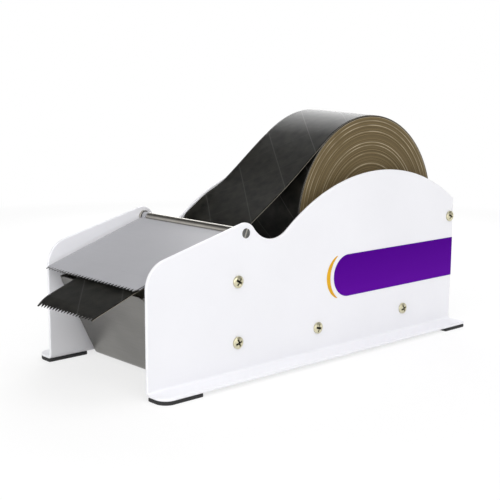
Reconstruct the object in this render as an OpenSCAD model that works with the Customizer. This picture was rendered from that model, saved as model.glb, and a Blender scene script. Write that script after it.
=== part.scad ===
// Water-activated tape dispenser for gummed reinforced paper tape.
// Two bent side plates carry the roll on a spindle, a guide rod, a lift-out water tank
// with a wetting roller, and a hinged cover whose front edge is the cutter.
// X runs across, Y from front to rear, Z up from the table. Lengths are in millimetres.
// Places in a side view are [y, z], with y measured from the plates' front edge.

/* [Side plates] */
// Length of a side plate, front edge to rear edge
plate_len = 300; // [285:1:315]
// Clear width between the two side plates
plate_gap = 108; // [102:1:130]
// Sheet thickness of a side plate
plate_t = 2; // [1.5:0.25:3]
// Width of the outward foot flange beyond the plate's outer face
flange_w = 16; // [12:1:24]
// Inner radius of the flange's bend
bend_r = 1.5; // [1:0.25:2.5]
// Radius of the flange's front outer corner
flange_front_r = 8; // [4:1:20]
// Radius of the flange's rear outer corner
flange_rear_r = 3; // [1:0.5:6]
// Height where the sloping top edge would meet the front edge
front_h = 81.5; // [80:0.5:86]
// Rise of the sloping top edge, degrees
slope_deg = 14.6; // [12:0.1:16]
// Radius of the front top corner
front_r = 18; // [8:1:24]
// Distance of the guide nose behind the front edge
nose_y = 78.6; // [75:0.1:84]
// Radius of the guide nose
nose_r = 10; // [8:0.5:12]
// Radius of the valley behind the guide nose
valley_r = 21; // [16:0.5:24]
// Radius of the arc over the roll
arc_r = 152; // [140:1:165]
// Height of the crown of the arc over the roll
arc_h = 128; // [122:1:134]
// Distance of that crown behind the front edge
arc_y = 213.5; // [205:0.5:220]

/* [Feet] */
// Thickness of a foot pad
foot_t = 2.5; // [1.5:0.5:5]
// Length of a front foot pad
front_foot_len = 31; // [16:1:40]
// Length of a rear foot pad
rear_foot_len = 25; // [16:1:40]

/* [Label] */
// Length of the label, from its round end to the rear edge
label_len = 136.8; // [100:0.1:140]
// Height of the label
label_h = 30.3; // [20:0.1:34]
// Height of the label's middle line above the table
label_z = 54.9; // [45:0.1:60]
// Thickness of the printed film
label_t = 0.2; // [0.1:0.05:0.5]
// White space between the label's round end and the crescent
crescent_gap = 3.6; // [2:0.1:5]
// Thickness of the crescent at its middle
crescent_w = 3.6; // [1:0.1:4]

/* [Screws] */
// Nominal thread diameter of the screws
screw_d = 4; // [3:0.5:5]
// Diameter of a screw head
head_d = 8; // [7:0.5:10]
// Height of a screw head
head_h = 2.5; // [2:0.1:3.5]
// Width across the flats of a nut
nut_af = 7; // [6.5:0.5:8.5]
// Thickness of a nut
nut_t = 3.2; // [2:0.1:4]

/* [Tank bulkhead] */
// Distance of the bulkhead's front face behind the front edge
bulkhead_y = 66; // [64:0.5:68]
// Sheet thickness of the bulkhead
bulkhead_t = 1.5; // [1:0.25:2]
// Depth of the bulkhead's side flanges
bulkhead_depth = 12; // [11:0.5:18]
// Height of the bulkhead's lower edge
bulkhead_low = 15; // [12:1:18]
// Height of the bulkhead's upper edge
bulkhead_high = 76; // [72:0.5:78]
// Height of the lower screw on each side
bulkhead_screw_low = 23.7; // [22:0.1:30]
// Height of the upper screw on each side
bulkhead_screw_high = 64; // [58:0.5:66]

/* [Water tank] */
// Sheet thickness of the tank
tank_t = 1; // [0.6:0.1:1.5]
// Free space between the tank and each side plate
tank_side_gap = 7; // [5:0.5:10]
// Distance of the tank's front lip behind the front edge
tank_lip_y = 4; // [2:0.5:8]
// Drop of the tank's front lip below the cover's middle plane
tank_lip_drop = 7.15; // [6.5:0.05:10]
// Lean of the tank's front wall from upright, degrees
tank_lean = 25.6; // [20:0.2:28]
// Outer radius of the tank's bottom bends
tank_bend_r = 5; // [3:0.5:8]
// Radius of the front lip's corners
tank_corner_r = 5; // [2:0.5:8]

/* [Wetting roller] */
// Radius of the felt wetting roller
wet_r = 16; // [12:0.5:18]
// Distance of the roller's axis behind the front edge
wet_y = 41.3; // [38:0.1:44]
// Diameter of the roller's axle
wet_axle_d = 6; // [5:0.5:8]
// Space between the end of the felt and the tank's end wall
wet_end_gap = 3.5; // [3:0.5:6]
// Wall of a bush round the axle
bush_wall = 1; // [0.8:0.1:1.5]
// Step of a bush's flanges beyond its neck
bush_step = 2; // [1:0.5:3]
// Thickness of a bush's flange
bush_flange_t = 1.5; // [1:0.25:2]

/* [Guide rod] */
// Diameter of the fixed guide axle
axle_d = 4; // [3:0.5:4.5]
// Outer diameter of the turning guide sleeve
sleeve_d = 6; // [5.5:0.1:6.4]
// Distance of the axle behind the nose's centre
axle_back = 1; // [0:0.1:2]
// Distance of the axle above the nose's centre
axle_rise = 3.1; // [1:0.1:4]
// Diameter of the axle's end nuts
end_nut_d = 6.5; // [6:0.1:8]
// Distance by which the axle's end nuts stand out of the plates
end_nut_proud = 0.4; // [0.2:0.1:1.5]

/* [Cover and cutter] */
// Slope of the cover, degrees
cover_deg = 18.7; // [17:0.1:19.5]
// Sheet thickness of the cover
cover_t = 1.2; // [1:0.1:1.5]
// Free space between the cover and the left side plate
cover_left_gap = 2; // [1.5:0.1:7]
// Free space between the cover and the right side plate
cover_right_gap = 5.1; // [4:0.1:7]
// Reach of the cover in front of the plates
cover_reach = 1; // [0:0.5:4]
// Width of a rolled hinge eye
eye_w = 4.5; // [3:0.5:7]
// Thickness of the cutter strip, which lies flush in the cover's top
blade_t = 0.6; // [0.4:0.1:0.8]
// Depth of the cutter strip from its back edge to the roots of the teeth
blade_depth = 14; // [12:0.5:20]
// Pitch of the cutter's teeth
tooth_pitch = 3.36; // [2:0.02:5]
// Depth of the cutter's teeth
tooth_depth = 2.9; // [1.5:0.1:3.5]
// Setback of the cover's lip under the cutter strip from the roots of the teeth
lip_back = 1; // [0.5:0.1:2]
// Thickness of the press strip over the tape
strip_t = 0.5; // [0.4:0.1:1]
// Distance of the press strip's left end from the cover's left edge
strip_inset = 10; // [8:0.5:20]
// Length of the press strip across the cover
strip_len = 84; // [70:1:86]
// Width of the press strip, front to rear
strip_w = 7; // [4:0.5:9]
// Setback of the press strip from the roots of the teeth
strip_back = 2; // [1:0.5:4]
// Height of the guide block at the left end of the press strip
guide_block_h = 2.7; // [1.5:0.1:3.5]
// Free space between the guide block and the tape's edge
guide_block_gap = 1; // [0.5:0.1:3]

/* [Tie rods] */
// Diameter of a tie rod
tie_d = 7; // [6:0.5:7]
// Height of the two low tie rods
tie_z = 21.3; // [17:0.1:22]
// Distance of the front low tie rod in front of the roll's axis
tie_front_ahead = 60.9; // [50:0.1:75]
// Distance of the rear low tie rod behind the roll's axis
tie_rear_behind = 31.9; // [20:0.1:50]
// Distance of the back tie bar in front of the rear edge
tie_back_inset = 4.5; // [4:0.1:8]
// Distance of the back tie bar below the rear corner
tie_back_drop = 13.8; // [8:0.1:20]
// Length of the tie rods' screws under the head
tie_screw_len = 12; // [8:1:20]

/* [Tape roll] */
// Width of the tape
tape_w = 63.5; // [48:0.5:76]
// Thickness of the tape
tape_t = 0.3; // [0.2:0.05:0.4]
// Outer radius of the wound roll
roll_r = 72.5; // [55:0.5:72.5]
// Free space between the roll and the plates' rear edge
roll_rear_gap = 19; // [14:0.5:26]
// Free space between the roll's outer wrap and the rear low tie rod
roll_tie_gap = 2.8; // [1:0.1:6]
// Inner radius of the cardboard core
core_r = 25; // [19:0.5:30]
// Wall of the cardboard core
core_wall = 4; // [2:0.5:6]
// Turn of the outer wrap that is drawn round the roll, degrees
wrap_deg = 318; // [240:1:330]
// Length over which the tape turns down at the plates' front edge
tail_bend = 4; // [2:0.5:10]
// Slope of the tape in front of the plates, degrees
tail_slope = 21.5; // [19:0.5:30]
// Length of the straight stretch in front of the plates
tail_straight = 21.5; // [5:0.5:25]
// Length of the drooping end of the tape
tail_len = 9.5; // [5:0.5:30]
// Droop of the end of the tape, degrees
tail_droop = 10; // [4:0.5:20]

/* [Spindle and hubs] */
// Diameter of the roll's spindle
spindle_d = 10; // [8:0.5:12]
// Sheet thickness of a spindle holder
holder_t = 2.5; // [2:0.25:4]
// Width of a spindle holder
holder_w = 36; // [28:1:44]
// Height of a holder above the spindle's axis
holder_up = 14; // [10:0.5:18]
// Height from the centre of a holder's round foot up to the spindle's axis
holder_down = 8; // [4:0.5:14]
// Thickness of a hub's flange
hub_flange_t = 2.5; // [1.5:0.25:3]
// Step of a hub's flange beyond the core's bore
hub_step = 5; // [4:0.5:6]
// Length of a hub's plug in the core
hub_plug_len = 12; // [8:0.5:16]
// Running space between a hub and its holder
hub_side_gap = 1.5; // [0.5:0.25:3]
// Outer diameter of the locking collar
collar_d = 20; // [17:0.5:26]
// Length of the locking collar
collar_len = 9; // [7:0.5:12]

/* [Clearances] */
// Radial clearance of a shaft in its bore
running = 0.05; // [0.02:0.01:0.1]
// Space between pieces that move past each other
moving_gap = 0.3; // [0.2:0.05:0.5]
// Radial clearance of a screw in a plain hole
hole_clear = 0.2; // [0.1:0.05:0.4]

/* [Hidden] */
$fn = 96;

// Colours of the finishes
white_paint = [0.93, 0.93, 0.95];
black_rubber = [0.10, 0.10, 0.11];
label_purple = [0.33, 0.06, 0.57];
label_gold = [0.92, 0.69, 0.24];
zinc_plate = [0.78, 0.76, 0.62];
stainless = [0.55, 0.54, 0.52];
grey_sheet = [0.68, 0.68, 0.70];
polished_rod = [0.75, 0.74, 0.72];
felt_grey = [0.78, 0.77, 0.72];
nylon_white = [0.90, 0.90, 0.86];
kraft_brown = [0.55, 0.47, 0.33];
card_brown = [0.62, 0.50, 0.36];
tape_black = [0.16, 0.16, 0.16];

// Faces across the width
side_x = plate_gap / 2;
outer_x = side_x + plate_t;
flange_x = outer_x + flange_w;

// Screws: a low rim under a dome, with a cross recess or a slot
screw_r = screw_d / 2;
head_rim = 0.45 * head_h;
head_dome = head_h - head_rim;
dome_r = (head_d * head_d / 4 + head_dome * head_dome) / (2 * head_dome);
recess_len = 0.56 * head_d;
recess_w = 0.13 * head_d;
recess_deep = 0.5 * head_h;
nut_end = 1;
slot_w = 1;
slot_deep = 0.8;
bulkhead_screw_len = plate_t + bulkhead_t + nut_t + nut_end;

// Side plate outline: circle centres and the points where the curves meet
front_c = [front_r, front_h + front_r * tan(slope_deg) - front_r / cos(slope_deg)];
nose_c = [nose_y, front_h + nose_y * tan(slope_deg) - nose_r / cos(slope_deg)];
arc_c = [arc_y, arc_h - arc_r];
valley_c = between_circles(nose_c, nose_r + valley_r, arc_c, arc_r + valley_r);
slope_up = [-sin(slope_deg), cos(slope_deg)];
nose_to_valley = nose_c + nose_r * unit(valley_c - nose_c);
arc_to_valley = arc_c + arc_r * unit(valley_c - arc_c);
rear_z = arc_c.y + sqrt(arc_r * arc_r - (plate_len - arc_y) * (plate_len - arc_y));
bend_c = [outer_x + bend_r, foot_t + plate_t + bend_r];
front_corner_r = min(flange_front_r, flange_w - bend_r);
rear_corner_r = min(flange_rear_r, flange_w - bend_r);
// Height of the strip in which the wall and the bent foot run into each other
bend_lap = 4;

// Roll: it hangs just clear of the rear low tie rod
tie_r = tie_d / 2;
wrap_r = roll_r + moving_gap + tape_t / 2;
roll_to_tie = wrap_r + tape_t / 2 + roll_tie_gap + tie_r;
roll_y = plate_len - roll_rear_gap - roll_r;
roll_z = tie_z + sqrt(roll_to_tie * roll_to_tie - tie_rear_behind * tie_rear_behind);
roll_c = [roll_y, roll_z];

// Tie rods and the bulkhead's screws
front_tie = [roll_y - tie_front_ahead, tie_z];
rear_tie = [roll_y + tie_rear_behind, tie_z];
back_tie = [plate_len - tie_back_inset, rear_z - tie_back_drop];
tie_places = [front_tie, rear_tie, back_tie];
bulkhead_screw_y = bulkhead_y + bulkhead_t + (bulkhead_depth - bulkhead_t) / 2;
bulkhead_places = [for (z = [bulkhead_screw_low, bulkhead_screw_high]) [bulkhead_screw_y, z]];

// Guide axle and the cover that hinges on it
axle = nose_c + [axle_back, axle_rise];
axle_r = axle_d / 2;
end_nut_floor = 0.6;
end_nut_h = plate_t + end_nut_proud;
end_nut_seat = end_nut_h - slot_deep - end_nut_floor;
// A spacer is wider than the hole in which the end nut sits
spacer_lap = 0.8;
spacer_r = end_nut_d / 2 + running + spacer_lap;
eye_r = axle_r + running + cover_t;
cover_x0 = cover_left_gap - side_x;
cover_x1 = side_x - cover_right_gap;
cover_mid = (cover_x0 + cover_x1) / 2;
eye_x0 = cover_x0 + eye_w;
eye_x1 = cover_x1 - eye_w;
cover_len = (axle.x + cover_reach) / cos(cover_deg);
cover_rear_gap = sleeve_d / 2 + 2 * moving_gap;
tooth_count = floor((cover_x1 - cover_x0) / tooth_pitch);

// Tape: it leaves the roll, dips under the guide sleeve and runs on below the cover
dip_r = eye_r + moving_gap + tape_t / 2;
centre_line = roll_c - axle;
web_deg = atan2(centre_line.y, centre_line.x) + asin((wrap_r + dip_r) / norm(centre_line));
// At the cover's front edge it passes just under the press strip
front_drop = cover_t / 2 + strip_t + moving_gap + tape_t / 2;
run_deg = cover_deg - asin(dip_r / norm([cover_len, front_drop])) + atan2(front_drop, cover_len);
run_start = axle + dip_r * [sin(run_deg), -cos(run_deg)];
run_end = [0, run_start.y - run_start.x * tan(run_deg)];
wrap_steps = 106;
dip_steps = 6;
tail_steps = 10;
// Each step is a point on the tape's middle and the direction of its upper side
wrap_path = [for (i = [0:wrap_steps])
    let (a = 90 + web_deg - wrap_deg * (1 - i / wrap_steps), d = [cos(a), sin(a)])
    [roll_c + wrap_r * d, d]];
dip_path = [for (i = [0:dip_steps])
    let (a = web_deg + (run_deg - web_deg) * i / dip_steps, d = [-sin(a), cos(a)])
    [axle - dip_r * d, d]];
front_path = drooping(run_end, run_deg, tail_slope - run_deg, tail_bend, tail_steps);
tail_start = front_path[tail_steps][0] - tail_straight * [cos(tail_slope), sin(tail_slope)];
tail_path = drooping(tail_start, tail_slope, tail_droop, tail_len, tail_steps);
tape_path = concat(wrap_path, dip_path, front_path, tail_path);
tape_upper = [for (s = tape_path) s[0] + s[1] * tape_t / 2];
tape_lower = [for (s = tape_path) s[0] - s[1] * tape_t / 2];
tail_tip = tape_path[len(tape_path) - 1][0];
tail_deg = tail_slope + tail_droop;
tape_front = min([for (p = concat(tape_upper, tape_lower)) p.x]);
web_points = [for (i = [0:40]) wrap_path[wrap_steps][0] * (1 - i / 40) + dip_path[0][0] * i / 40];
echo("least gap of the outer turn to itself",
    min([for (p = web_points) norm(p - wrap_path[0][0])]) - tape_t);

// The origin lies under the middle of the whole object
object_rear = max(plate_len, back_tie.x + head_d / 2);
middle_y = (object_rear + tape_front) / 2;

// Water tank and wetting roller
tank_x = side_x - tank_side_gap;
tank_back = bulkhead_y - moving_gap;
tank_top = bulkhead_high + tank_t;
tank_lip_z = axle.y - (axle.x - tank_lip_y) * tan(cover_deg) - tank_lip_drop;
tank_foot_y = tank_lip_y + (tank_lip_z - foot_t) * tan(tank_lean);
wet_drop = wet_r + moving_gap + tape_t / 2;
wet_c = [wet_y, run_start.y + ((wet_y - run_start.x) * sin(run_deg) - wet_drop) / cos(run_deg)];
wet_axle_r = wet_axle_d / 2;
bush_r = wet_axle_r + running + bush_wall;
bush_flange_r = bush_r + bush_step;
bush_out_x = tank_x + running + bush_flange_t;
bush_in_x = tank_x - tank_t - running - bush_flange_t;

// Spindle, hubs and roll along X
spindle_r = spindle_d / 2;
holder_x = side_x - holder_t;
spindle_x = side_x - moving_gap;
roll_x1 = holder_x - hub_side_gap - hub_flange_t;
roll_x0 = roll_x1 - tape_w;
hub_flange_r = core_r + hub_step;
collar_x1 = roll_x0 - hub_flange_t;
collar_x0 = collar_x1 - collar_len;
// The collar's grub screw stands on the spindle and ends just below the collar's rim
grub_x = (collar_x0 + collar_x1) / 2;
grub_low = spindle_r + running;
grub_sink = 0.5;
grub_high = collar_d / 2 - grub_sink;

// Label outline: the round end and the crescent beside it
label_r = label_h / 2;
label_c = [plate_len - label_len + label_r, label_z];
crescent_in_r = label_r + crescent_gap;
crescent_out_r = crescent_in_r - 2 * crescent_w / 3;
crescent_c = [label_c.x - crescent_in_r - crescent_w + crescent_out_r, label_z];

function unit(v) = v / norm(v);

// Steps of tape that starts forward from p at the slope deg and turns down by more over the given length
function drooping(p, deg, more, length, steps) =
    let (r = length / (more * PI / 180), c = p + r * [sin(deg), -cos(deg)])
    [for (i = [0:steps]) let (a = deg + more * i / steps, d = [-sin(a), cos(a)]) [c + r * d, d]];

// Centre of the circle that touches two others: the upper crossing of two larger circles
function between_circles(p, p_r, q, q_r) =
    let (d = norm(q - p), along = (p_r * p_r - q_r * q_r + d * d) / (2 * d))
    let (aside = sqrt(p_r * p_r - along * along), u = (q - p) / d)
    p + along * u + aside * [-u.y, u.x];

// Points of the arc of radius r that rounds the corner b between a and c
function fillet(a, b, c, r, steps = 8) =
    let (u = unit(a - b), v = unit(c - b), half = acos(u * v) / 2)
    let (m = b + unit(u + v) * r / sin(half), p = b + u * r / tan(half) - m)
    let (start = atan2(p.y, p.x), turn = (180 - 2 * half) * sign(u.y * v.x - u.x * v.y))
    [for (i = [0:steps]) let (a = start + turn * i / steps) m + r * [cos(a), sin(a)]];

// Places what is drawn from the plates' front edge in the object's own frame
module in_frame() translate([0, -middle_y, 0]) children();

// Extrudes a side view from x towards +X
module side_extrude(x, thick) translate([x, 0, 0]) rotate([90, 0, 90]) linear_extrude(thick) children();

// A round bar along X at the side-view place p
module bar(r, x0, x1, p) translate([x0, p.x, p.y]) rotate([0, 90, 0]) cylinder(r = r, h = x1 - x0);

module tube(r_out, r_in, x0, x1, p) {
    difference() {
        bar(r_out, x0, x1, p);
        bar(r_in, x0 - 1, x1 + 1, p);
    }
}

// What is cut from a corner to round it: the square outside a quarter circle about the origin
module corner_waste(r, beyond) {
    difference() {
        square(r + beyond);
        circle(r);
    }
}

module flange_corner_cut(y, turn, r) {
    translate([flange_x - r, y, -1]) rotate([0, 0, turn])
        linear_extrude(foot_t + plate_t + 2) corner_waste(r, 1);
}

module round_flange_corners() {
    difference() {
        children();
        flange_corner_cut(front_corner_r, -90, front_corner_r);
        flange_corner_cut(plate_len - rear_corner_r, 0, rear_corner_r);
    }
}

module plate_outline() {
    difference() {
        union() {
            polygon([
                [0, bend_c.y], [plate_len, bend_c.y], [plate_len, rear_z], arc_to_valley, nose_to_valley,
                nose_c + nose_r * slope_up, front_c + front_r * slope_up, [0, front_c.y]
            ]);
            translate(front_c) circle(front_r);
            translate(nose_c) circle(nose_r);
            intersection() {
                translate(arc_c) circle(arc_r, $fn = 360);
                translate([arc_to_valley.x, bend_c.y]) square([plate_len - arc_to_valley.x, arc_h]);
            }
        }
        translate(valley_c) circle(valley_r);
    }
}

// Cross-section of the bent foot, in x and z
module foot_section() {
    difference() {
        union() {
            intersection() {
                translate(bend_c) circle(bend_r + plate_t);
                translate(bend_c - (bend_r + plate_t) * [1, 1]) square(bend_r + plate_t);
            }
            translate([bend_c.x, foot_t]) square([flange_x - bend_c.x, plate_t]);
            translate([side_x, bend_c.y]) square([plate_t, bend_lap]);
        }
        translate(bend_c) circle(bend_r);
    }
}

module side_plate() {
    difference() {
        union() {
            side_extrude(side_x, plate_t) plate_outline();
            round_flange_corners()
                translate([0, plate_len, 0]) rotate([90, 0, 0]) linear_extrude(plate_len) foot_section();
        }
        for (p = concat(bulkhead_places, tie_places)) bar(screw_r + hole_clear, side_x - 1, outer_x + 1, p);
        bar(end_nut_d / 2 + running, side_x - 1, outer_x + 1, axle);
    }
}

module right_side_plate() color(white_paint) in_frame() side_plate();
module left_side_plate() color(white_paint) in_frame() mirror([1, 0, 0]) side_plate();

module foot_pad(y0, y1) {
    round_flange_corners() translate([outer_x, y0, 0]) cube([flange_w, y1 - y0, foot_t]);
}
module front_foot() foot_pad(0, front_foot_len);
module rear_foot() foot_pad(plate_len - rear_foot_len, plate_len);

module front_right_foot() color(black_rubber) in_frame() front_foot();
module front_left_foot() color(black_rubber) in_frame() mirror([1, 0, 0]) front_foot();
module rear_right_foot() color(black_rubber) in_frame() rear_foot();
module rear_left_foot() color(black_rubber) in_frame() mirror([1, 0, 0]) rear_foot();

module side_label() {
    color(label_purple) in_frame() side_extrude(outer_x, label_t) union() {
        translate(label_c) circle(label_r);
        translate([label_c.x, label_z - label_r]) square([plate_len - label_c.x, label_h]);
    }
}

module label_crescent() {
    color(label_gold) in_frame() side_extrude(outer_x, label_t) intersection() {
        difference() {
            translate(crescent_c) circle(crescent_out_r);
            translate(label_c) circle(crescent_in_r);
        }
        translate([crescent_c.x - crescent_out_r, label_z - label_r]) square([label_len, label_h]);
    }
}

module tank_bulkhead() {
    color(white_paint) in_frame() difference() {
        translate([0, bulkhead_y, bulkhead_low]) linear_extrude(bulkhead_high - bulkhead_low) difference() {
            translate([-side_x, 0]) square([2 * side_x, bulkhead_depth]);
            translate([-side_x + bulkhead_t, bulkhead_t])
                square([2 * (side_x - bulkhead_t), bulkhead_depth]);
        }
        for (p = bulkhead_places) bar(screw_r + hole_clear, -side_x - 1, side_x + 1, p);
    }
}

// A domed cross-recess screw along X with its head outside the right plate
module screw_at(p, length) {
    translate([outer_x, p.x, p.y]) difference() {
        union() {
            rotate([0, -90, 0]) cylinder(r = screw_r, h = length);
            rotate([0, 90, 0]) rotate_extrude() intersection() {
                translate([0, head_h - dome_r]) circle(dome_r);
                square([head_d / 2, head_h]);
            }
        }
        translate([head_h - recess_deep, 0, 0]) rotate([0, 90, 0]) linear_extrude(head_h)
            for (a = [45, -45]) rotate(a) square([recess_len, recess_w], center = true);
    }
}

module on_both_sides() {
    children();
    mirror([1, 0, 0]) children();
}

module bulkhead_screws() {
    color(zinc_plate) in_frame() on_both_sides()
        for (p = bulkhead_places) screw_at(p, bulkhead_screw_len);
}

module bulkhead_nuts() {
    nut_x = side_x - bulkhead_t - nut_t;
    color(zinc_plate) in_frame() on_both_sides() for (p = bulkhead_places) difference() {
        translate([nut_x, p.x, p.y]) rotate([0, 90, 0]) cylinder(d = nut_af / cos(30), h = nut_t, $fn = 6);
        bar(screw_r + running, nut_x - 1, nut_x + nut_t + 1, p);
    }
}

// Side view of the tank's outside, or of its inside when shrunk by one wall
module tank_section(wall, top_cut) {
    low = foot_t + wall;
    lean_wall = wall / cos(tank_lean);
    foot = [tank_foot_y + lean_wall - wall * tan(tank_lean), low];
    lip = [tank_lip_y + lean_wall, tank_lip_z];
    back = tank_back - wall;
    raised = [0, top_cut];
    polygon(concat(
        [lip + top_cut * [-tan(tank_lean), 1]],
        fillet(lip, foot, [back, low], tank_bend_r - wall),
        fillet(foot, [back, low], [back, tank_top], tank_bend_r - wall),
        [[back, tank_top] + raised]
    ));
}

module lip_corner_cut() {
    lip_depth = (tank_corner_r + 1) * tan(tank_lean) + 2 * tank_t;
    translate([tank_x - tank_corner_r, tank_lip_y + lip_depth, tank_lip_z - tank_corner_r])
        rotate([90, 0, 0]) linear_extrude(lip_depth + 1) corner_waste(tank_corner_r, lip_depth);
}

module tank_hook() {
    hook_back = bulkhead_y + bulkhead_t + moving_gap + tank_t;
    hook_drop = 7;
    side_extrude(-tank_x, 2 * tank_x) {
        translate([tank_back - tank_t, bulkhead_high]) square([hook_back - tank_back + tank_t, tank_t]);
        translate([hook_back - tank_t, bulkhead_high - hook_drop]) square([tank_t, hook_drop + tank_t]);
    }
}

module water_tank() {
    inner_x = tank_x - tank_t;
    open_top = tank_top;
    slot_r = bush_r + running;
    color(stainless) in_frame() difference() {
        union() {
            side_extrude(-tank_x, 2 * tank_x) tank_section(0, 0);
            tank_hook();
        }
        side_extrude(-inner_x, 2 * inner_x) tank_section(tank_t, open_top);
        bar(slot_r, -tank_x - 1, tank_x + 1, wet_c);
        translate([-tank_x - 1, wet_c.x - slot_r, wet_c.y]) cube([2 * tank_x + 2, 2 * slot_r, open_top]);
        on_both_sides() lip_corner_cut();
    }
}

module wetting_bush() {
    difference() {
        union() {
            bar(bush_r, bush_in_x, bush_out_x, wet_c);
            bar(bush_flange_r, bush_in_x, bush_in_x + bush_flange_t, wet_c);
            bar(bush_flange_r, bush_out_x - bush_flange_t, bush_out_x, wet_c);
        }
        bar(wet_axle_r + running, bush_in_x - 1, bush_out_x + 1, wet_c);
    }
}
module wetting_bush_right() color(nylon_white) in_frame() wetting_bush();
module wetting_bush_left() color(nylon_white) in_frame() mirror([1, 0, 0]) wetting_bush();

module wetting_axle() {
    axle_end = bush_out_x + 2;
    color(polished_rod) in_frame() bar(wet_axle_r, -axle_end, axle_end, wet_c);
}

module wetting_roller() {
    felt_x = tank_x - tank_t - wet_end_gap;
    color(felt_grey) in_frame() tube(wet_r, wet_axle_r + running, -felt_x, felt_x, wet_c);
}

module guide_axle() {
    axle_end = side_x + end_nut_seat;
    color(polished_rod) in_frame() bar(axle_r, -axle_end, axle_end, axle);
}

module guide_end_nuts() {
    color(polished_rod) in_frame() on_both_sides() difference() {
        bar(end_nut_d / 2, side_x, side_x + end_nut_h, axle);
        bar(axle_r + running, side_x - 1, side_x + end_nut_seat + running, axle);
        translate([side_x + end_nut_h - slot_deep, axle.x - end_nut_d, axle.y - slot_w / 2])
            cube([end_nut_h, 2 * end_nut_d, slot_w]);
    }
}

module guide_spacer(x0, x1) color(polished_rod) in_frame() tube(spacer_r, axle_r + running, x0, x1, axle);
module guide_spacer_right() guide_spacer(cover_x1 + moving_gap, side_x);
module guide_spacer_left() guide_spacer(-side_x, cover_x0 - moving_gap);

module guide_sleeve() {
    color(polished_rod) in_frame()
        tube(sleeve_d / 2, axle_r + running, eye_x0 + moving_gap, eye_x1 - moving_gap, axle);
}

// The cover's own frame: the hinge axis is the origin and -Y runs down the slope to the front
module on_cover() translate([0, axle.x, axle.y]) rotate([cover_deg, 0, 0]) children();

// An eye round the hinge axis, from x towards +X, and the tab that carries it
module cover_eye(x) {
    ear_lap = 2;
    bar(eye_r, x, x + eye_w, [0, 0]);
    translate([x, -cover_rear_gap - ear_lap, -cover_t / 2]) cube([eye_w, cover_rear_gap + ear_lap, cover_t]);
}

module cover_plate() {
    wide = cover_x1 - cover_x0;
    lip_front = -cover_len + lip_back;
    color(grey_sheet) in_frame() on_cover() difference() {
        union() {
            translate([cover_x0, lip_front, -cover_t / 2]) cube([wide, -lip_front - cover_rear_gap, cover_t]);
            cover_eye(cover_x0);
            cover_eye(eye_x1);
        }
        bar(axle_r + running, cover_x0 - 1, cover_x1 + 1, [0, 0]);
        translate([cover_x0 - 1, -cover_len - 1, cover_t / 2 - blade_t])
            cube([wide + 2, blade_depth + running + 1, cover_t]);
    }
}

// A strip along X whose front edge is a row of teeth, with its roots at y = 0
module toothed_strip(count, pitch, depth, back) {
    half = count * pitch / 2;
    polygon(concat(
        [[half, 0], [half, back], [-half, back]],
        [for (i = [0:count - 1], s = [0, 1]) [-half + (i + s / 2) * pitch, -s * depth]]
    ));
}

module cutter_blade() {
    color(polished_rod) in_frame() on_cover()
        translate([cover_mid, -cover_len, cover_t / 2 - blade_t]) linear_extrude(blade_t)
            toothed_strip(tooth_count, tooth_pitch, tooth_depth, blade_depth);
}

// A thin rubber strip over the tape, with a block at its left end that guides the tape's edge
module press_strip() {
    strip_x = cover_x0 + strip_inset;
    color(black_rubber) in_frame() on_cover() translate([strip_x, -cover_len + strip_back, -cover_t / 2]) {
        translate([0, 0, -strip_t]) cube([strip_len, strip_w, strip_t]);
        translate([0, 0, -guide_block_h]) cube([roll_x0 - guide_block_gap - strip_x, strip_w, guide_block_h]);
    }
}

module tie_rod(p) {
    color(zinc_plate) in_frame() difference() {
        bar(tie_r, -side_x, side_x, p);
        on_both_sides() bar(screw_r + running, side_x - tie_screw_len, side_x + 1, p);
    }
}
module front_tie_rod() tie_rod(front_tie);
module rear_tie_rod() tie_rod(rear_tie);
module back_tie_bar() tie_rod(back_tie);

module tie_rod_screws() {
    color(zinc_plate) in_frame() on_both_sides() for (p = tie_places) screw_at(p, tie_screw_len);
}

module spindle_holder() {
    foot_c = roll_c - [0, holder_down];
    side_extrude(holder_x, holder_t) difference() {
        union() {
            translate(foot_c) circle(holder_w / 2);
            translate(foot_c - [holder_w / 2, 0]) square([holder_w, holder_down + holder_up]);
        }
        translate(roll_c) circle(spindle_r + running);
        translate(roll_c - [spindle_r + running, 0]) square([2 * (spindle_r + running), 2 * holder_up]);
    }
}
module spindle_holder_right() color(zinc_plate) in_frame() spindle_holder();
module spindle_holder_left() color(zinc_plate) in_frame() mirror([1, 0, 0]) spindle_holder();

module spindle() color(polished_rod) in_frame() bar(spindle_r, -spindle_x, spindle_x, roll_c);

// A hub with its flange from x to the outside, and its plug inside the core
module hub(x, way) {
    flange_x0 = min(x, x + way * hub_flange_t);
    plug_x0 = min(x, x - way * hub_plug_len);
    difference() {
        union() {
            bar(hub_flange_r, flange_x0, flange_x0 + hub_flange_t, roll_c);
            bar(core_r - running, plug_x0, plug_x0 + hub_plug_len, roll_c);
        }
        bar(spindle_r + running, -side_x, side_x, roll_c);
    }
}
module hub_right() color(nylon_white) in_frame() hub(roll_x1, 1);
module hub_left() color(nylon_white) in_frame() hub(roll_x0, -1);

module spindle_collar() {
    color(polished_rod) in_frame() difference() {
        tube(collar_d / 2, spindle_r + running, collar_x0, collar_x1, roll_c);
        translate([grub_x, roll_y, roll_z]) cylinder(r = screw_r + running, h = collar_d);
    }
}

module collar_screw() {
    grub_len = grub_high - grub_low;
    color(zinc_plate) in_frame() translate([grub_x, roll_y, roll_z + grub_low]) difference() {
        cylinder(r = screw_r, h = grub_len);
        translate([-screw_d, -slot_w / 2, grub_len - slot_deep]) cube([2 * screw_d, slot_w, grub_len]);
    }
}

module roll_core() {
    color(card_brown) in_frame() tube(core_r + core_wall, core_r, roll_x0, roll_x1, roll_c);
}

module tape_roll() {
    color(kraft_brown) in_frame() tube(roll_r, core_r + core_wall + running, roll_x0, roll_x1, roll_c);
}

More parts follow.
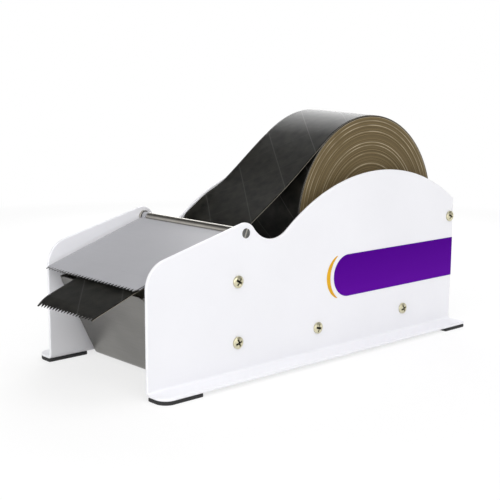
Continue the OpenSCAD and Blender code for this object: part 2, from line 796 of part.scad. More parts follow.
module tape_web() {
    cut_count = floor(tape_w / tooth_pitch);
    cut_half = cut_count * tooth_pitch / 2;
    reversed_lower = [for (i = [len(tape_lower) - 1:-1:0]) tape_lower[i]];
    color(tape_black) in_frame() difference() {
        side_extrude(roll_x0, tape_w) polygon(concat(tape_upper, reversed_lower));
        translate([(roll_x0 + roll_x1) / 2, tail_tip.x, tail_tip.y]) rotate([tail_deg, 0, 0])
            translate([0, 0, -1]) linear_extrude(2) polygon(concat(
                [[cut_half, -1], [-cut_half, -1]],
                [for (i = [0:cut_count], s = [0, 1])
                    if (i < cut_count || s == 0)
                        [-cut_half + (i + s / 2) * tooth_pitch, s == 0 ? 0 : tooth_depth]]
            ));
    }
}

right_side_plate();
left_side_plate();
front_right_foot();
front_left_foot();
rear_right_foot();
rear_left_foot();
side_label();
label_crescent();
tank_bulkhead();
bulkhead_screws();
bulkhead_nuts();
water_tank();
wetting_bush_right();
wetting_bush_left();
wetting_axle();
wetting_roller();
guide_axle();
guide_end_nuts();
guide_spacer_right();
guide_spacer_left();
guide_sleeve();
cover_plate();
cutter_blade();
press_strip();
front_tie_rod();
rear_tie_rod();
back_tie_bar();
tie_rod_screws();
spindle_holder_right();
spindle_holder_left();
spindle();
hub_right();
hub_left();
spindle_collar();
collar_screw();
roll_core();
tape_roll();
tape_web();
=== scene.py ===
# %% [markdown]
# # A dispenser for gummed paper tape, dressed piece by piece
# The real object is two bent side plates that carry a roll of tape, a guide rod, a water tank with a felt
# roller, and a hinged cover whose front edge is a toothed cutter. The frame that is loaded here holds each of
# these pieces as a construction node at its real size. One way to dress it would be to keep those solids and
# only paint them. Here each node is replaced by a surface worked out with numpy instead, because rolled sheet
# edges, domed screws and curling paper are what the eye looks for. Sizes are in millimetres until a mesh is
# made.

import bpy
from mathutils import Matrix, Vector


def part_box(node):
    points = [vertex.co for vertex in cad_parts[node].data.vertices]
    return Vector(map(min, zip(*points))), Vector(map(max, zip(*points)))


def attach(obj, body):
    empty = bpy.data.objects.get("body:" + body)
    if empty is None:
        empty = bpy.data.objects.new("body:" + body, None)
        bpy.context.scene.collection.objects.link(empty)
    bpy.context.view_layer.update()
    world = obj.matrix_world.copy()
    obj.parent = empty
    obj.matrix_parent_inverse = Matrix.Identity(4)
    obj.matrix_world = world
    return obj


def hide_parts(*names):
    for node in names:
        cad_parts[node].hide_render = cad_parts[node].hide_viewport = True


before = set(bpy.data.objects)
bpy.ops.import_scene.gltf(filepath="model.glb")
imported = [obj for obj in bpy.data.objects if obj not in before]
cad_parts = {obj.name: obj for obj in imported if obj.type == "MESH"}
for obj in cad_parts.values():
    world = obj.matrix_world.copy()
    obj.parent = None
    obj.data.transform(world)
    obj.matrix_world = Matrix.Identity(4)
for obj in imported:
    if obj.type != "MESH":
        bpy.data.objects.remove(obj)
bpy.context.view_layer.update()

import bpy
import numpy as np
from mathutils import Matrix

MM = 0.001

# %% [markdown]
# ## The camera
# The picture was taken from the front right, just above the table, with a long lens. A camera can be aimed
# with a constraint, but its place and three angles are known here, so its matrix is written straight from
# them: the right, up and back directions are its first three columns. Its place is measured from the floor
# between the plates' front edges.

# %% Camera
CAMERA_PLACE = np.array([0.52236, -0.34407, 0.191293])
CAMERA_AZIMUTH, CAMERA_ELEVATION, CAMERA_ROLL = np.radians([47.51, 9.672, 0.328])
PICTURE_SIDE = 500
FOCAL_PIXELS = 994.43


def camera_matrix(place, azimuth, elevation, roll):
    """The level right and up directions, turned by the roll about the viewing line, their cross product."""
    right = np.array([np.cos(azimuth), np.sin(azimuth), 0])
    flat = np.cos(elevation)
    back = np.array([np.sin(azimuth) * flat, -np.cos(azimuth) * flat, np.sin(elevation)])
    up = np.cross(back, right)
    matrix = np.eye(4)
    matrix[:3, 0] = np.cos(roll) * right + np.sin(roll) * up
    matrix[:3, 1] = np.cos(roll) * up - np.sin(roll) * right
    matrix[:3, 2] = back
    matrix[:3, 3] = place
    return Matrix(matrix.tolist())


camera_data = bpy.data.cameras.new("studio_camera")
camera_data.sensor_width = 36
camera_data.lens = camera_data.sensor_width * FOCAL_PIXELS / PICTURE_SIDE
camera = bpy.data.objects.new("studio_camera", camera_data)
plate_front = np.array([0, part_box("right_side_plate")[0][1], 0])
camera.matrix_world = camera_matrix(plate_front + CAMERA_PLACE, CAMERA_AZIMUTH, CAMERA_ELEVATION, CAMERA_ROLL)
bpy.context.scene.collection.objects.link(camera)
bpy.context.scene.camera = camera
print("lens:", round(camera_data.lens, 2), "mm")

# %% [markdown]
# ## Surfaces from arrays
# Nearly everything on this object is either turned on a lathe, cut from plate, or bent from sheet. Modifiers
# could round their edges, but a bevel fails where an outline has short arcs. So three helpers make these
# three families directly. A turned part carries a profile round a line. A slab carries a rounded rim along an
# outline. A bent sheet is a slab whose flat blank is folded along a line of straights and arcs.

# %% Grids and outlines
def unit(vectors):
    """Each vector divided by its own length."""
    return vectors / np.maximum(np.linalg.norm(vectors, axis=-1, keepdims=True), 1e-12)


def grid_quads(rows, columns, close_columns=False, close_rows=False):
    """Faces of a grid stored row by row: each joins a vertex to the next column and the next row."""
    r = np.arange(rows if close_rows else rows - 1)[:, None]
    c = np.arange(columns if close_columns else columns - 1)[None, :]
    next_r, next_c = (r + 1) % rows, (c + 1) % columns
    corners = [r * columns + c, r * columns + next_c, next_r * columns + next_c, next_r * columns + c]
    return np.stack(corners, axis=-1).reshape(-1, 4)


def arc(centre, radius, start, end, steps):
    """Points at equal angles, in degrees, on a circle."""
    angle = np.radians(np.linspace(start, end, steps))
    return np.asarray(centre) + radius * np.stack([np.cos(angle), np.sin(angle)], axis=-1)


def rounded(corners, radius, steps=6, closed=True):
    """Each corner becomes an arc that touches both sides. With u and v the unit vectors to the neighbours
    and h half the angle between them, the centre lies r / sin h along u + v, and the arc's ends lie r / tan h
    along u and v."""
    corners = np.asarray(corners, float)
    radius = np.array(np.broadcast_to(radius, len(corners)), float)
    if not closed:
        radius[[0, -1]] = 0
    u = unit(np.roll(corners, 1, axis=0) - corners)
    v = unit(np.roll(corners, -1, axis=0) - corners)
    half = np.arccos(np.clip((u * v).sum(axis=1), -1, 1)) / 2
    centre = corners + unit(u + v) * (radius / np.sin(half))[:, None]
    reach = (radius / np.tan(half))[:, None]
    first = (corners + u * reach - centre)[:, None]
    last = (corners + v * reach - centre)[:, None]
    turn = np.maximum(np.pi - 2 * half, 1e-9)[:, None, None]
    t = np.linspace(0, 1, steps)[None, :, None]
    points = centre[:, None] + (np.sin((1 - t) * turn) * first + np.sin(t * turn) * last) / np.sin(turn)
    points = points.reshape(-1, 2)
    moved = np.linalg.norm(np.diff(points, axis=0, prepend=points[:1] + 1), axis=1)
    return points[moved > 1e-6]


def braced(points, reach, closed=True):
    """A long straight run gets a point close to each end, so that smooth shading stays even between them."""
    following = np.roll(points, -1, axis=0)
    run = following - points
    length = np.linalg.norm(run, axis=1)
    far = length > 4 * reach
    if not closed:
        far[-1] = False
    step = run * (reach / np.maximum(length, reach))[:, None]
    order = np.arange(len(points), dtype=float)
    every = np.concatenate([points, (points + step)[far], (following - step)[far]])
    place = np.concatenate([order, order[far] + 0.3, order[far] + 0.6])
    return every[np.argsort(place, kind="stable")]


print("a rounded square has", len(rounded([(0, 0), (9, 0), (9, 9), (0, 9)], 2)), "points")

# %% Turned parts
def turned(profile, centre, steps=64, closed=False):
    """A profile of (x, r) points carried round the line along X through centre = (y, z):
    y = centre y + r cos(angle) and z = centre z + r sin(angle). An open profile gets flat end caps."""
    angle = np.linspace(0, 2 * np.pi, steps, endpoint=False)
    x, r = profile[:, :1], profile[:, 1:]
    rings = np.broadcast_arrays(x, centre[0] + r * np.cos(angle), centre[1] + r * np.sin(angle))
    faces = [grid_quads(len(profile), steps, close_columns=True, close_rows=closed)]
    if not closed:
        cap = np.arange(steps)[None]
        faces += [cap, cap + (len(profile) - 1) * steps]
    return np.stack(rings, axis=-1).reshape(-1, 3), faces


def rod(x0, x1, radius, centre, edge, steps=48):
    """A solid round bar with rounded rims."""
    corners = [(x0, radius / 2), (x0, radius), (x1, radius), (x1, radius / 2)]
    return turned(braced(rounded(corners, edge, closed=False), edge, closed=False), centre, steps)


def ring(x0, x1, inner, outer, centre, edge, steps=64):
    """A tube with rounded rims: a closed rectangle carried round the axis."""
    corners = [(x0, inner), (x1, inner), (x1, outer), (x0, outer)]
    return turned(braced(rounded(corners, edge), edge), centre, steps, closed=True)


print("a 6 mm rod has", len(rod(0, 10, 3, (0, 0), 0.4)[0]), "vertices")

# %% Slabs
def across(a, b, h):
    """An outline in (y, z) with its thickness along X."""
    return np.stack([h, a, b], axis=-1)


def upright(a, b, h):
    """An outline in (x, y) with its thickness along Z."""
    return np.stack([a, b, h], axis=-1)


def outward(outline):
    """Mitred directions of an anticlockwise outline: with m and n the normals of the sides before and after
    a corner, (m + n) / (1 + m . n) moves both sides out by one unit."""
    side = unit(np.roll(outline, -1, axis=0) - outline)
    after = np.stack([side[:, 1], -side[:, 0]], axis=1)
    before = np.roll(after, 1, axis=0)
    return (before + after) / (1 + (before * after).sum(axis=1, keepdims=True)).clip(0.3)


def with_levels(outline, levels):
    """Adds the points where the outline crosses the given values of its second coordinate."""
    level = np.asarray(levels, float)[:, None]
    here, there = outline[:, 1], np.roll(outline, -1, axis=0)[:, 1]
    rise = np.where(np.abs(there - here) < 1e-9, np.inf, there - here)
    share = (level - here) / rise
    hit = np.nonzero((share > 1e-6) & (share < 1 - 1e-6))
    side = hit[1]
    added = outline[side] + share[hit][:, None] * (np.roll(outline, -1, axis=0) - outline)[side]
    order = np.concatenate([np.arange(len(outline)), side + share[hit]])
    return np.concatenate([outline, added])[np.argsort(order, kind="stable")]


def slab(outline, low, high, edge, place, levels=()):
    """A plate with rounded edges. At each face the rim runs round a quarter circle of radius edge: its inset
    is edge (1 - sin a) and its drop edge (1 - cos a). The two faces are filled between the bending levels."""
    outline = with_levels(braced(np.asarray(outline, float), 5 * edge), levels)
    quarter = np.linspace(0, np.pi / 2, 4)
    inset = edge * np.concatenate([[1.5], 1 - np.sin(quarter)])
    drop = edge * np.concatenate([[0], 1 - np.cos(quarter)])
    inset = np.concatenate([inset, inset[::-1]])[:, None]
    height = np.concatenate([high - drop, (low + drop)[::-1]])[:, None]
    loops = outline - inset[..., None] * outward(outline)
    rows, count = loops.shape[:2]
    points = place(loops[..., 0], loops[..., 1], np.broadcast_to(height, (rows, count)))
    faces = [grid_quads(rows, count, close_columns=True)]
    fold_lines = np.concatenate([[-np.inf], np.sort(levels), [np.inf]])
    for first, last in zip(fold_lines[:-1], fold_lines[1:]):
        strip = np.flatnonzero((outline[:, 1] > first - 1e-6) & (outline[:, 1] < last + 1e-6))
        faces += [strip[None], strip[None] + (rows - 1) * count]
    return points.reshape(-1, 3), faces


print("a square slab has", len(slab([(0, 0), (9, 0), (9, 9), (0, 9)], 0, 2, 0.3, upright)[0]), "vertices")

# %% Bent sheets
def bent_line(corners, radius, steps=9):
    """The middle line of a bent sheet. Returns a function that takes a distance s along it and a height n
    above it to a point, the distances at which the line turns, and its length."""
    line = braced(rounded(corners, radius, steps, closed=False), 0.5, closed=False)
    along = np.concatenate([[0], np.cumsum(np.linalg.norm(np.diff(line, axis=0), axis=1))])
    side = unit(np.diff(line, axis=0))
    heading = unit(np.concatenate([side[:1], side[:-1] + side[1:], side[-1:]]))

    def fold(s, n):
        a = np.interp(s, along, line[:, 0]) - n * np.interp(s, along, heading[:, 1])
        b = np.interp(s, along, line[:, 1]) + n * np.interp(s, along, heading[:, 0])
        return a, b

    return fold, along[1:-1], along[-1]


def folded(fold, axis):
    """Places a folded blank: its unbent coordinate goes to the given axis, the bent pair to the other two."""

    def place(unbent, s, n):
        coordinates = list(fold(s, n))
        coordinates.insert(axis, unbent)
        return np.stack(coordinates, axis=-1)

    return place


print("two sides of 10 mm with a bend make", round(bent_line([(0, 0), (10, 0), (10, 10)], 2)[2], 2), "mm")

# %% Joined and mirrored parts
def joined(*parts):
    """Several closed parts as one: vertices stacked, and faces shifted past the vertices before them."""
    shift = np.cumsum([0] + [len(points) for points, _ in parts])
    faces = [quads + start for (_, group), start in zip(parts, shift) for quads in group]
    return np.concatenate([points for points, _ in parts]), faces


def mirrored(part):
    """The same part on the other side of the middle plane."""
    points, faces = part
    return points * [-1, 1, 1], faces


two_rods = joined(*[rod(x, x + 10, 3, (0, 0), 0.4) for x in (0, 20)])
print("two rods joined have", len(two_rods[0]), "vertices")

# %% [markdown]
# ## Shared surface effects
# Several finishes on this object share an effect: powder coat, rubber and paper all have a fine grain, rolled
# and turned metal has lines along one direction, and no colour is quite even. Each effect is a shader node
# group, built once, and every material gives it its own scale and strength. The groups read Object
# coordinates, so a pattern stays fixed to its piece.

# %% Node helpers
COLOUR, VALUE, VECTOR = "NodeSocketColor", "NodeSocketFloat", "NodeSocketVector"


def node(tree, kind, **values):
    """A shader node with some of its unlinked inputs set by name."""
    made = tree.nodes.new("ShaderNode" + kind)
    for name, value in values.items():
        made.inputs[name.replace("_", " ")].default_value = value
    return made


def calc(tree, operation, first, second=0.5, third=0.0):
    """One step of arithmetic. Each of its terms is an output socket or a number."""
    made = tree.nodes.new("ShaderNodeMath")
    made.operation = operation
    for socket, term in zip(made.inputs, (first, second, third)):
        if isinstance(term, bpy.types.NodeSocket):
            tree.links.new(term, socket)
        else:
            socket.default_value = term
    return made.outputs[0]


def blended(tree, share, first, second):
    """A mix of two colours, each an output socket or four numbers."""
    made = tree.nodes.new("ShaderNodeMix")
    made.data_type = "RGBA"
    for socket, term in ((made.inputs[0], share), (made.inputs[6], first), (made.inputs[7], second)):
        if isinstance(term, bpy.types.NodeSocket):
            tree.links.new(term, socket)
        else:
            socket.default_value = term
    return made.outputs[2]


def effect(name, takes, gives):
    """An empty node group with its named sockets, and its input and output nodes."""
    tree = bpy.data.node_groups.new(name, "ShaderNodeTree")
    for label, kind in takes.items():
        tree.interface.new_socket(label, in_out="INPUT", socket_type=kind)
    for label, kind in gives.items():
        tree.interface.new_socket(label, in_out="OUTPUT", socket_type=kind)
    return tree, tree.nodes.new("NodeGroupInput").outputs, tree.nodes.new("NodeGroupOutput").inputs


def noise(tree, vector, scale, detail=3.0):
    """A soft noise value between 0 and 1 at a point."""
    made = node(tree, "TexNoise", Detail=detail)
    tree.links.new(vector, made.inputs["Vector"])
    if isinstance(scale, bpy.types.NodeSocket):
        tree.links.new(scale, made.inputs["Scale"])
    else:
        made.inputs["Scale"].default_value = scale
    return made.outputs[0]


def clipped(tree, value, low, high):
    """Stretches the values between low and high to 0 and 1, and cuts off the rest."""
    made = node(tree, "MapRange", From_Min=low, From_Max=high)
    tree.links.new(value, made.inputs["Value"])
    return made.outputs[0]


print("sockets:", COLOUR, VALUE, VECTOR)

# %% Uneven tint, fine grain and brushed lines
PATCH_LOW, PATCH_HIGH = 0.3, 0.7
UNEVEN, takes, gives = effect(
    "uneven_tint", {"Vector": VECTOR, "Scale": VALUE, "Tint": COLOUR, "Shade": COLOUR}, {"Colour": COLOUR})
patches = clipped(UNEVEN, noise(UNEVEN, takes["Vector"], takes["Scale"], 4.0), PATCH_LOW, PATCH_HIGH)
UNEVEN.links.new(blended(UNEVEN, patches, takes["Tint"], takes["Shade"]), gives["Colour"])

COARSE_SCALE, COARSE_SHARE, FINE_SHARE = 0.23, 0.6, 0.4
GRAIN, takes, gives = effect("fine_grain", {"Vector": VECTOR, "Scale": VALUE}, {"Height": VALUE})
coarse = noise(GRAIN, takes["Vector"], calc(GRAIN, "MULTIPLY", takes["Scale"], COARSE_SCALE), 2.0)
fine = noise(GRAIN, takes["Vector"], takes["Scale"], 3.0)
weighed = calc(GRAIN, "MULTIPLY", fine, FINE_SHARE)
GRAIN.links.new(calc(GRAIN, "MULTIPLY_ADD", coarse, COARSE_SHARE, weighed), gives["Height"])

ROUGH_SPAN, ROUGH_LEAST = 0.22, 0.24
BRUSHED, takes, gives = effect(
    "brushed_lines", {"Vector": VECTOR, "Stretch": VECTOR}, {"Lines": VALUE, "Roughness": VALUE})
stretched = BRUSHED.nodes.new("ShaderNodeVectorMath")
stretched.operation = "MULTIPLY"
BRUSHED.links.new(takes["Vector"], stretched.inputs[0])
BRUSHED.links.new(takes["Stretch"], stretched.inputs[1])
lines = noise(BRUSHED, stretched.outputs[0], 1.0, 4.0)
BRUSHED.links.new(lines, gives["Lines"])
BRUSHED.links.new(calc(BRUSHED, "MULTIPLY_ADD", lines, ROUGH_SPAN, ROUGH_LEAST), gives["Roughness"])
print("effects:", [tree.name for tree in bpy.data.node_groups])

# %% [markdown]
# ## Finishes
# White powder coat, black rubber, printed film, yellow zinc, brushed stainless, satin sheet, polished steel,
# felt, nylon, the layered edges of the wound tape, core board and the dark reinforced paper. A finish could
# be one flat colour, but even paint shows a slight orange peel and clouds. So each material is a Principled
# shader whose constant numbers sit on its own sockets, while colour, roughness and bump come from the groups.

# %% Building blocks of a finish
FINISH = {}


def finish(slot, **sockets):
    """A new material with its Principled shader's constants set. Returns its tree, shader and coordinates."""
    material = bpy.data.materials.new(slot)
    material.use_nodes = True
    tree = material.node_tree
    shader = tree.nodes["Principled BSDF"]
    for name, value in sockets.items():
        shader.inputs[name.replace("_", " ")].default_value = value
    FINISH[slot] = material
    return tree, shader, tree.nodes.new("ShaderNodeTexCoord").outputs["Object"]


def use(tree, group, vector, **values):
    """Places an effect in a material, with its own values."""
    made = tree.nodes.new("ShaderNodeGroup")
    made.node_tree = group
    tree.links.new(vector, made.inputs["Vector"])
    for name, value in values.items():
        made.inputs[name].default_value = value
    return made.outputs


def tinted(tree, shader, vector, scale, tint, shade):
    """Feeds the base colour from two tints in soft patches."""
    tint, shade = (*tint, 1.0), (*shade, 1.0)
    patches = use(tree, UNEVEN, vector, Scale=scale, Tint=tint, Shade=shade)
    tree.links.new(patches["Colour"], shader.inputs["Base Color"])


def raised(tree, shader, height, strength, depth=0.2):
    """Feeds the normal from a height, with the depth of the relief in millimetres."""
    bump = node(tree, "Bump", Strength=strength, Distance=depth * MM)
    tree.links.new(height, bump.inputs["Height"])
    tree.links.new(bump.outputs["Normal"], shader.inputs["Normal"])


def grained(slot, tint, shade, patch_scale, grain_scale, strength, depth=0.2, **sockets):
    """A non-metal finish: two tints in patches under a fine grain."""
    tree, shader, where = finish(slot, **sockets)
    tinted(tree, shader, where, patch_scale, tint, shade)
    raised(tree, shader, use(tree, GRAIN, where, Scale=grain_scale)["Height"], strength, depth)


BRUSH_DEPTH = 0.05


def brushed(slot, tint, shade, patch_scale, stretch, strength, **sockets):
    """A metal finish: two tints in patches, with roughness and relief in lines."""
    tree, shader, where = finish(slot, **{"Metallic": 1.0, **sockets})
    tinted(tree, shader, where, patch_scale, tint, shade)
    lines = use(tree, BRUSHED, where, Stretch=stretch)
    tree.links.new(lines["Roughness"], shader.inputs["Roughness"])
    raised(tree, shader, lines["Lines"], strength, BRUSH_DEPTH)
    return tree, shader


print("finishes so far:", len(FINISH))

# %% Paint, rubber, felt, nylon and board
grained("white_paint", (0.83, 0.83, 0.86), (0.80, 0.80, 0.83), 14, 1500, 0.10, 0.1,
        Roughness=0.42, Specular_IOR_Level=0.45)
grained("black_rubber", (0.012, 0.012, 0.013), (0.020, 0.020, 0.021), 60, 2200, 0.35, Roughness=0.72)
grained("felt", (0.66, 0.64, 0.58), (0.52, 0.50, 0.44), 90, 2600, 0.9, 0.5, Roughness=0.95, Sheen_Weight=0.4)
grained("nylon", (0.76, 0.76, 0.71), (0.70, 0.70, 0.65), 40, 1800, 0.12, Roughness=0.38)
grained("card", (0.42, 0.30, 0.18), (0.33, 0.23, 0.14), 70, 1400, 0.4, Roughness=0.85)
print("finishes so far:", len(FINISH))

# %% [markdown]
# The metals are brushed lines over two tints. The zinc has one thing more: a screw's cross recess gets
# painted shade, so a value stored in the mesh, 1 in the recess and 0 elsewhere, darkens its colour there.

# %% Metals
RECESS_SHADE = (0.012, 0.011, 0.008, 1.0)
tree, shader = brushed("zinc", (0.76, 0.71, 0.50), (0.60, 0.57, 0.41), 260, (900, 300, 300), 0.15)
sunk = node(tree, "Attribute")
sunk.attribute_name = "recess"
plating = shader.inputs["Base Color"].links[0].from_socket
# painted shade: where the recess value is 1, the plating colour goes to RECESS_SHADE
shaded = blended(tree, sunk.outputs["Fac"], plating, RECESS_SHADE)
tree.links.new(shaded, shader.inputs["Base Color"])
# The stainless tints are darker than bare steel: they paint the shade the tank sits in below the cover and
# tape.
brushed("stainless", (0.225, 0.220, 0.208), (0.19, 0.186, 0.176), 30, (60, 1500, 1500), 0.22)
# Dark steel for the slotted nuts; on the cutter's flanks the same finish is a painted reflection.
brushed("dark_steel_and_painted_reflection", (0.16, 0.16, 0.155), (0.11, 0.11, 0.105), 300, (1500, 1500, 1500), 0.15)
brushed("cover_sheet", (0.365, 0.365, 0.385), (0.34, 0.34, 0.36), 24, (50, 900, 900), 0.10, Metallic=0.0,
        Specular_IOR_Level=0.12)
brushed("polished_rod", (0.46, 0.44, 0.40), (0.40, 0.38, 0.345), 120, (2400, 60, 60), 0.05)
print("finishes so far:", len(FINISH))

# %% [markdown]
# The label is a printed film whose purple is made slightly lighter towards the bottom, and the crescent in
# front of it is printed in gold. A gradient could be painted as a texture, but a height from the Object
# coordinates does it without one.

# %% Printed films
UPPER_PURPLE, LOWER_PURPLE = (0.074, 0.001, 0.240, 1.0), (0.103, 0.004, 0.305, 1.0)
label_low, label_high = (np.array(corner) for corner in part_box("side_label"))
tree, shader, where = finish("label_film", Roughness=0.34, Specular_IOR_Level=0.01)
split = tree.nodes.new("ShaderNodeSeparateXYZ")
tree.links.new(where, split.inputs[0])
down = clipped(tree, split.outputs["Z"], float(label_high[2]), float(label_low[2]))
tree.links.new(blended(tree, down, UPPER_PURPLE, LOWER_PURPLE), shader.inputs["Base Color"])
raised(tree, shader, use(tree, GRAIN, where, Scale=900)["Height"], 0.04)
grained("label_gold", (0.72, 0.40, 0.018), (0.66, 0.35, 0.014), 120, 1200, 0.05, Roughness=0.35,
        Specular_IOR_Level=0.10)
print("label is", np.round((label_high - label_low) / MM, 1), "mm")

# %% [markdown]
# The wound tape shows its edges: hundreds of thin layers, with a pale line here and there where a turn stands
# out. They could be modelled one by one, but 250 turns would be far too many faces. So the distance from the
# roll's axis drives two one-dimensional noises. The fine one gives the layers, and a pale line is drawn
# wherever the coarse one passes its middle value. A pale band along the outer edge is a painted highlight.

# %% The layered edges of the roll
LAYER_SCALE, LINE_SCALE, LINE_PATCHES = 1500, 130, 70
DARK_LAYER, LIGHT_LAYER = (0.064, 0.044, 0.015, 1.0), (0.172, 0.122, 0.050, 1.0)
PALE_LINE_AND_HIGHLIGHT = (0.50, 0.42, 0.28, 1.0)
LINE_OUTSIDE, LINE_INSIDE, LINE_SHARE = 0.020, 0.006, 0.8
HIGHLIGHT_RIM_WIDTH, HIGHLIGHT_RIM_SOFT, HIGHLIGHT_RIM_SHARE = 1.0, 0.3, 0.55
roll_low, roll_high = (np.array(corner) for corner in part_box("tape_roll"))
roll_middle = (roll_low + roll_high) / 2
tree, shader, where = finish("kraft", Roughness=0.82)
centred = node(tree, "Mapping", Location=tuple(-roll_middle))
tree.links.new(where, centred.inputs["Vector"])
split = tree.nodes.new("ShaderNodeSeparateXYZ")
tree.links.new(centred.outputs[0], split.inputs[0])
across_sum = calc(tree, "MULTIPLY", split.outputs["Y"], split.outputs["Y"])
radius = calc(tree, "SQRT", calc(tree, "MULTIPLY_ADD", split.outputs["Z"], split.outputs["Z"], across_sum))


def ring_noise(scale, detail):
    """A noise value that depends on the radius alone."""
    made = node(tree, "TexNoise", Scale=scale, Detail=detail)
    made.noise_dimensions = "1D"
    tree.links.new(radius, made.inputs["W"])
    return made.outputs[0]


layers = ring_noise(LAYER_SCALE, 4)
brown = blended(tree, clipped(tree, layers, 0.36, 0.64), DARK_LAYER, LIGHT_LAYER)
off_middle = calc(tree, "ABSOLUTE", calc(tree, "SUBTRACT", ring_noise(LINE_SCALE, 0), 0.5))
pale_line = clipped(tree, off_middle, LINE_OUTSIDE, LINE_INSIDE)
patchy = clipped(tree, noise(tree, where, LINE_PATCHES), 0.25, 0.65)
pale_share = calc(tree, "MULTIPLY", calc(tree, "MULTIPLY", pale_line, patchy), LINE_SHARE)
# painted highlight: a pale band over the last millimetre inside the roll's outer edge
highlight_rim_start = float((roll_high - roll_low)[2] / 2 - HIGHLIGHT_RIM_WIDTH * MM)
rim = calc(tree, "MULTIPLY", clipped(tree, radius, highlight_rim_start, highlight_rim_start + HIGHLIGHT_RIM_SOFT * MM), HIGHLIGHT_RIM_SHARE)
base = blended(tree, calc(tree, "MAXIMUM", pale_share, rim), brown, PALE_LINE_AND_HIGHLIGHT)
tree.links.new(base, shader.inputs["Base Color"])
raised(tree, shader, layers, 0.4, 0.3)
print("roll radius:", round((roll_high - roll_low)[2] / 2 / MM, 2), "mm")

# %% [markdown]
# The tape is dark paper with glass threads inside, which print through as faint slanting lines, one family
# more than the other. Its gummed side is brown. The threads must follow the tape round the roll and under the
# rod, so they are drawn on the tape's own UV map, where u runs across it and v along it, in decimetres.

# %% Dark paper and its gummed side
THREAD_PITCH, THREAD_SLANT, THREAD_START = 0.37, 0.88, 0.06
THREAD_OUTSIDE, THREAD_INSIDE, FAINT_THREAD, PLAIN_THREAD = 0.006, 0.001, 0.25, 0.8
DARK_PULP, LIGHT_PULP = (0.002, 0.002, 0.0016, 1.0), (0.016, 0.0153, 0.0122, 1.0)
THREAD_COLOUR = (0.050, 0.050, 0.047, 1.0)
tree, shader, where = finish("tape", Roughness=0.42, Specular_IOR_Level=0.22)
flat = tree.nodes.new("ShaderNodeUVMap")
split = tree.nodes.new("ShaderNodeSeparateXYZ")
tree.links.new(flat.outputs[0], split.inputs[0])
along = calc(tree, "SUBTRACT", split.outputs["Y"], THREAD_START)
threads = []
for slant, share in ((THREAD_SLANT, FAINT_THREAD), (-THREAD_SLANT, PLAIN_THREAD)):
    aslant = calc(tree, "MULTIPLY_ADD", split.outputs["X"], slant, along)
    swing = calc(tree, "PINGPONG", aslant, THREAD_PITCH / 2)
    threads.append(calc(tree, "MULTIPLY", clipped(tree, swing, THREAD_OUTSIDE, THREAD_INSIDE), share))
thread = calc(tree, "MAXIMUM", *threads)
pulp = use(tree, UNEVEN, where, Scale=170, Tint=DARK_PULP, Shade=LIGHT_PULP)
tree.links.new(blended(tree, thread, pulp["Colour"], THREAD_COLOUR), shader.inputs["Base Color"])
fibres = use(tree, GRAIN, where, Scale=600)
raised(tree, shader, calc(tree, "MULTIPLY_ADD", thread, 0.5, fibres["Height"]), 0.20, 0.12)
grained("gummed_side", (0.22, 0.195, 0.155), (0.18, 0.155, 0.12), 40, 900, 0.2, Roughness=0.4)
print("finishes:", sorted(FINISH))

# %% [markdown]
# ## From arrays to pieces
# Every part goes the same way: its arrays fill a mesh, its faces are turned outwards, and it rides on the
# body of the node that it stands for. A node's own place is in its vertices, so each piece is made where it
# belongs and its object stays at the origin.

# %% Making a piece
import bmesh


def piece(name, part, slot, body, *nodes, look=None):
    """Makes a mesh from vertices in millimetres and groups of faces, finishes it and puts it on its body."""
    points, faces = part
    mesh = bpy.data.meshes.new(name)
    corners = np.concatenate([group.ravel() for group in faces]).astype(np.int32)
    sizes = np.concatenate([np.full(len(group), group.shape[1]) for group in faces])
    mesh.vertices.add(len(points))
    mesh.vertices.foreach_set("co", (np.asarray(points) * MM).astype(np.float32).ravel())
    mesh.loops.add(len(corners))
    mesh.loops.foreach_set("vertex_index", corners)
    mesh.polygons.add(len(sizes))
    mesh.polygons.foreach_set("loop_start", (np.cumsum(sizes) - sizes).astype(np.int32))
    mesh.polygons.foreach_set("use_smooth", np.ones(len(sizes), bool))
    mesh.update(calc_edges=True)
    work = bmesh.new()
    work.from_mesh(mesh)
    bmesh.ops.recalc_face_normals(work, faces=work.faces)
    work.to_mesh(mesh)
    work.free()
    mesh.materials.append(FINISH[look or slot])
    made = bpy.data.objects.new(name, mesh)
    bpy.context.scene.collection.objects.link(made)
    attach(made, body)
    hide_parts(*nodes)
    print(f"{name}: {len(points)} vertices, {len(sizes)} faces")
    return made


def second_finish(made, slot, chosen):
    """Gives the chosen ones of a piece's first faces another finish."""
    made.data.materials.append(FINISH[slot])
    index = np.zeros(len(made.data.polygons), np.int32)
    index[:len(chosen)] = chosen
    made.data.polygons.foreach_set("material_index", index)


def flatten(made, flat):
    """Writes a UV map from one flat place per vertex."""
    corner = np.zeros(len(made.data.loops), np.int32)
    made.data.loops.foreach_get("vertex_index", corner)
    layer = made.data.uv_layers.new(name="flat_tape")
    layer.data.foreach_set("uv", flat[corner].astype(np.float32).ravel())


print("finishes ready for pieces:", len(FINISH))

# %% Places in the frame
def node_box(name):
    """Lowest and highest corner of a construction node, in millimetres."""
    return tuple(np.array(corner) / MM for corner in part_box(name))


def axis_of(name):
    """Where a node that is round about X has its axis, as (y, z), and its outer radius."""
    low, high = node_box(name)
    return (low + high)[1:] / 2, (high - low)[2] / 2


plate_low, plate_high = node_box("right_side_plate")
FRONT = np.array([plate_low[1], 0.0])
plate_length = plate_high[1] - plate_low[1]
side_x = plate_low[0]
print("plates are", round(plate_length, 2), "mm long and stand", round(2 * side_x, 2), "mm apart")

# %% [markdown]
# ## Side plates
# Each side plate is 2 mm sheet, cut to an outline of arcs, with its foot bent outwards. A filled curve with a
# bevel could make the upright wall, but not the bent foot in one sheet with it. So the outline is drawn on
# the flat blank: the first coordinate runs along the plate, and the second runs from the foot's edge through
# the bend and up the wall. The blank is then folded along its bend.

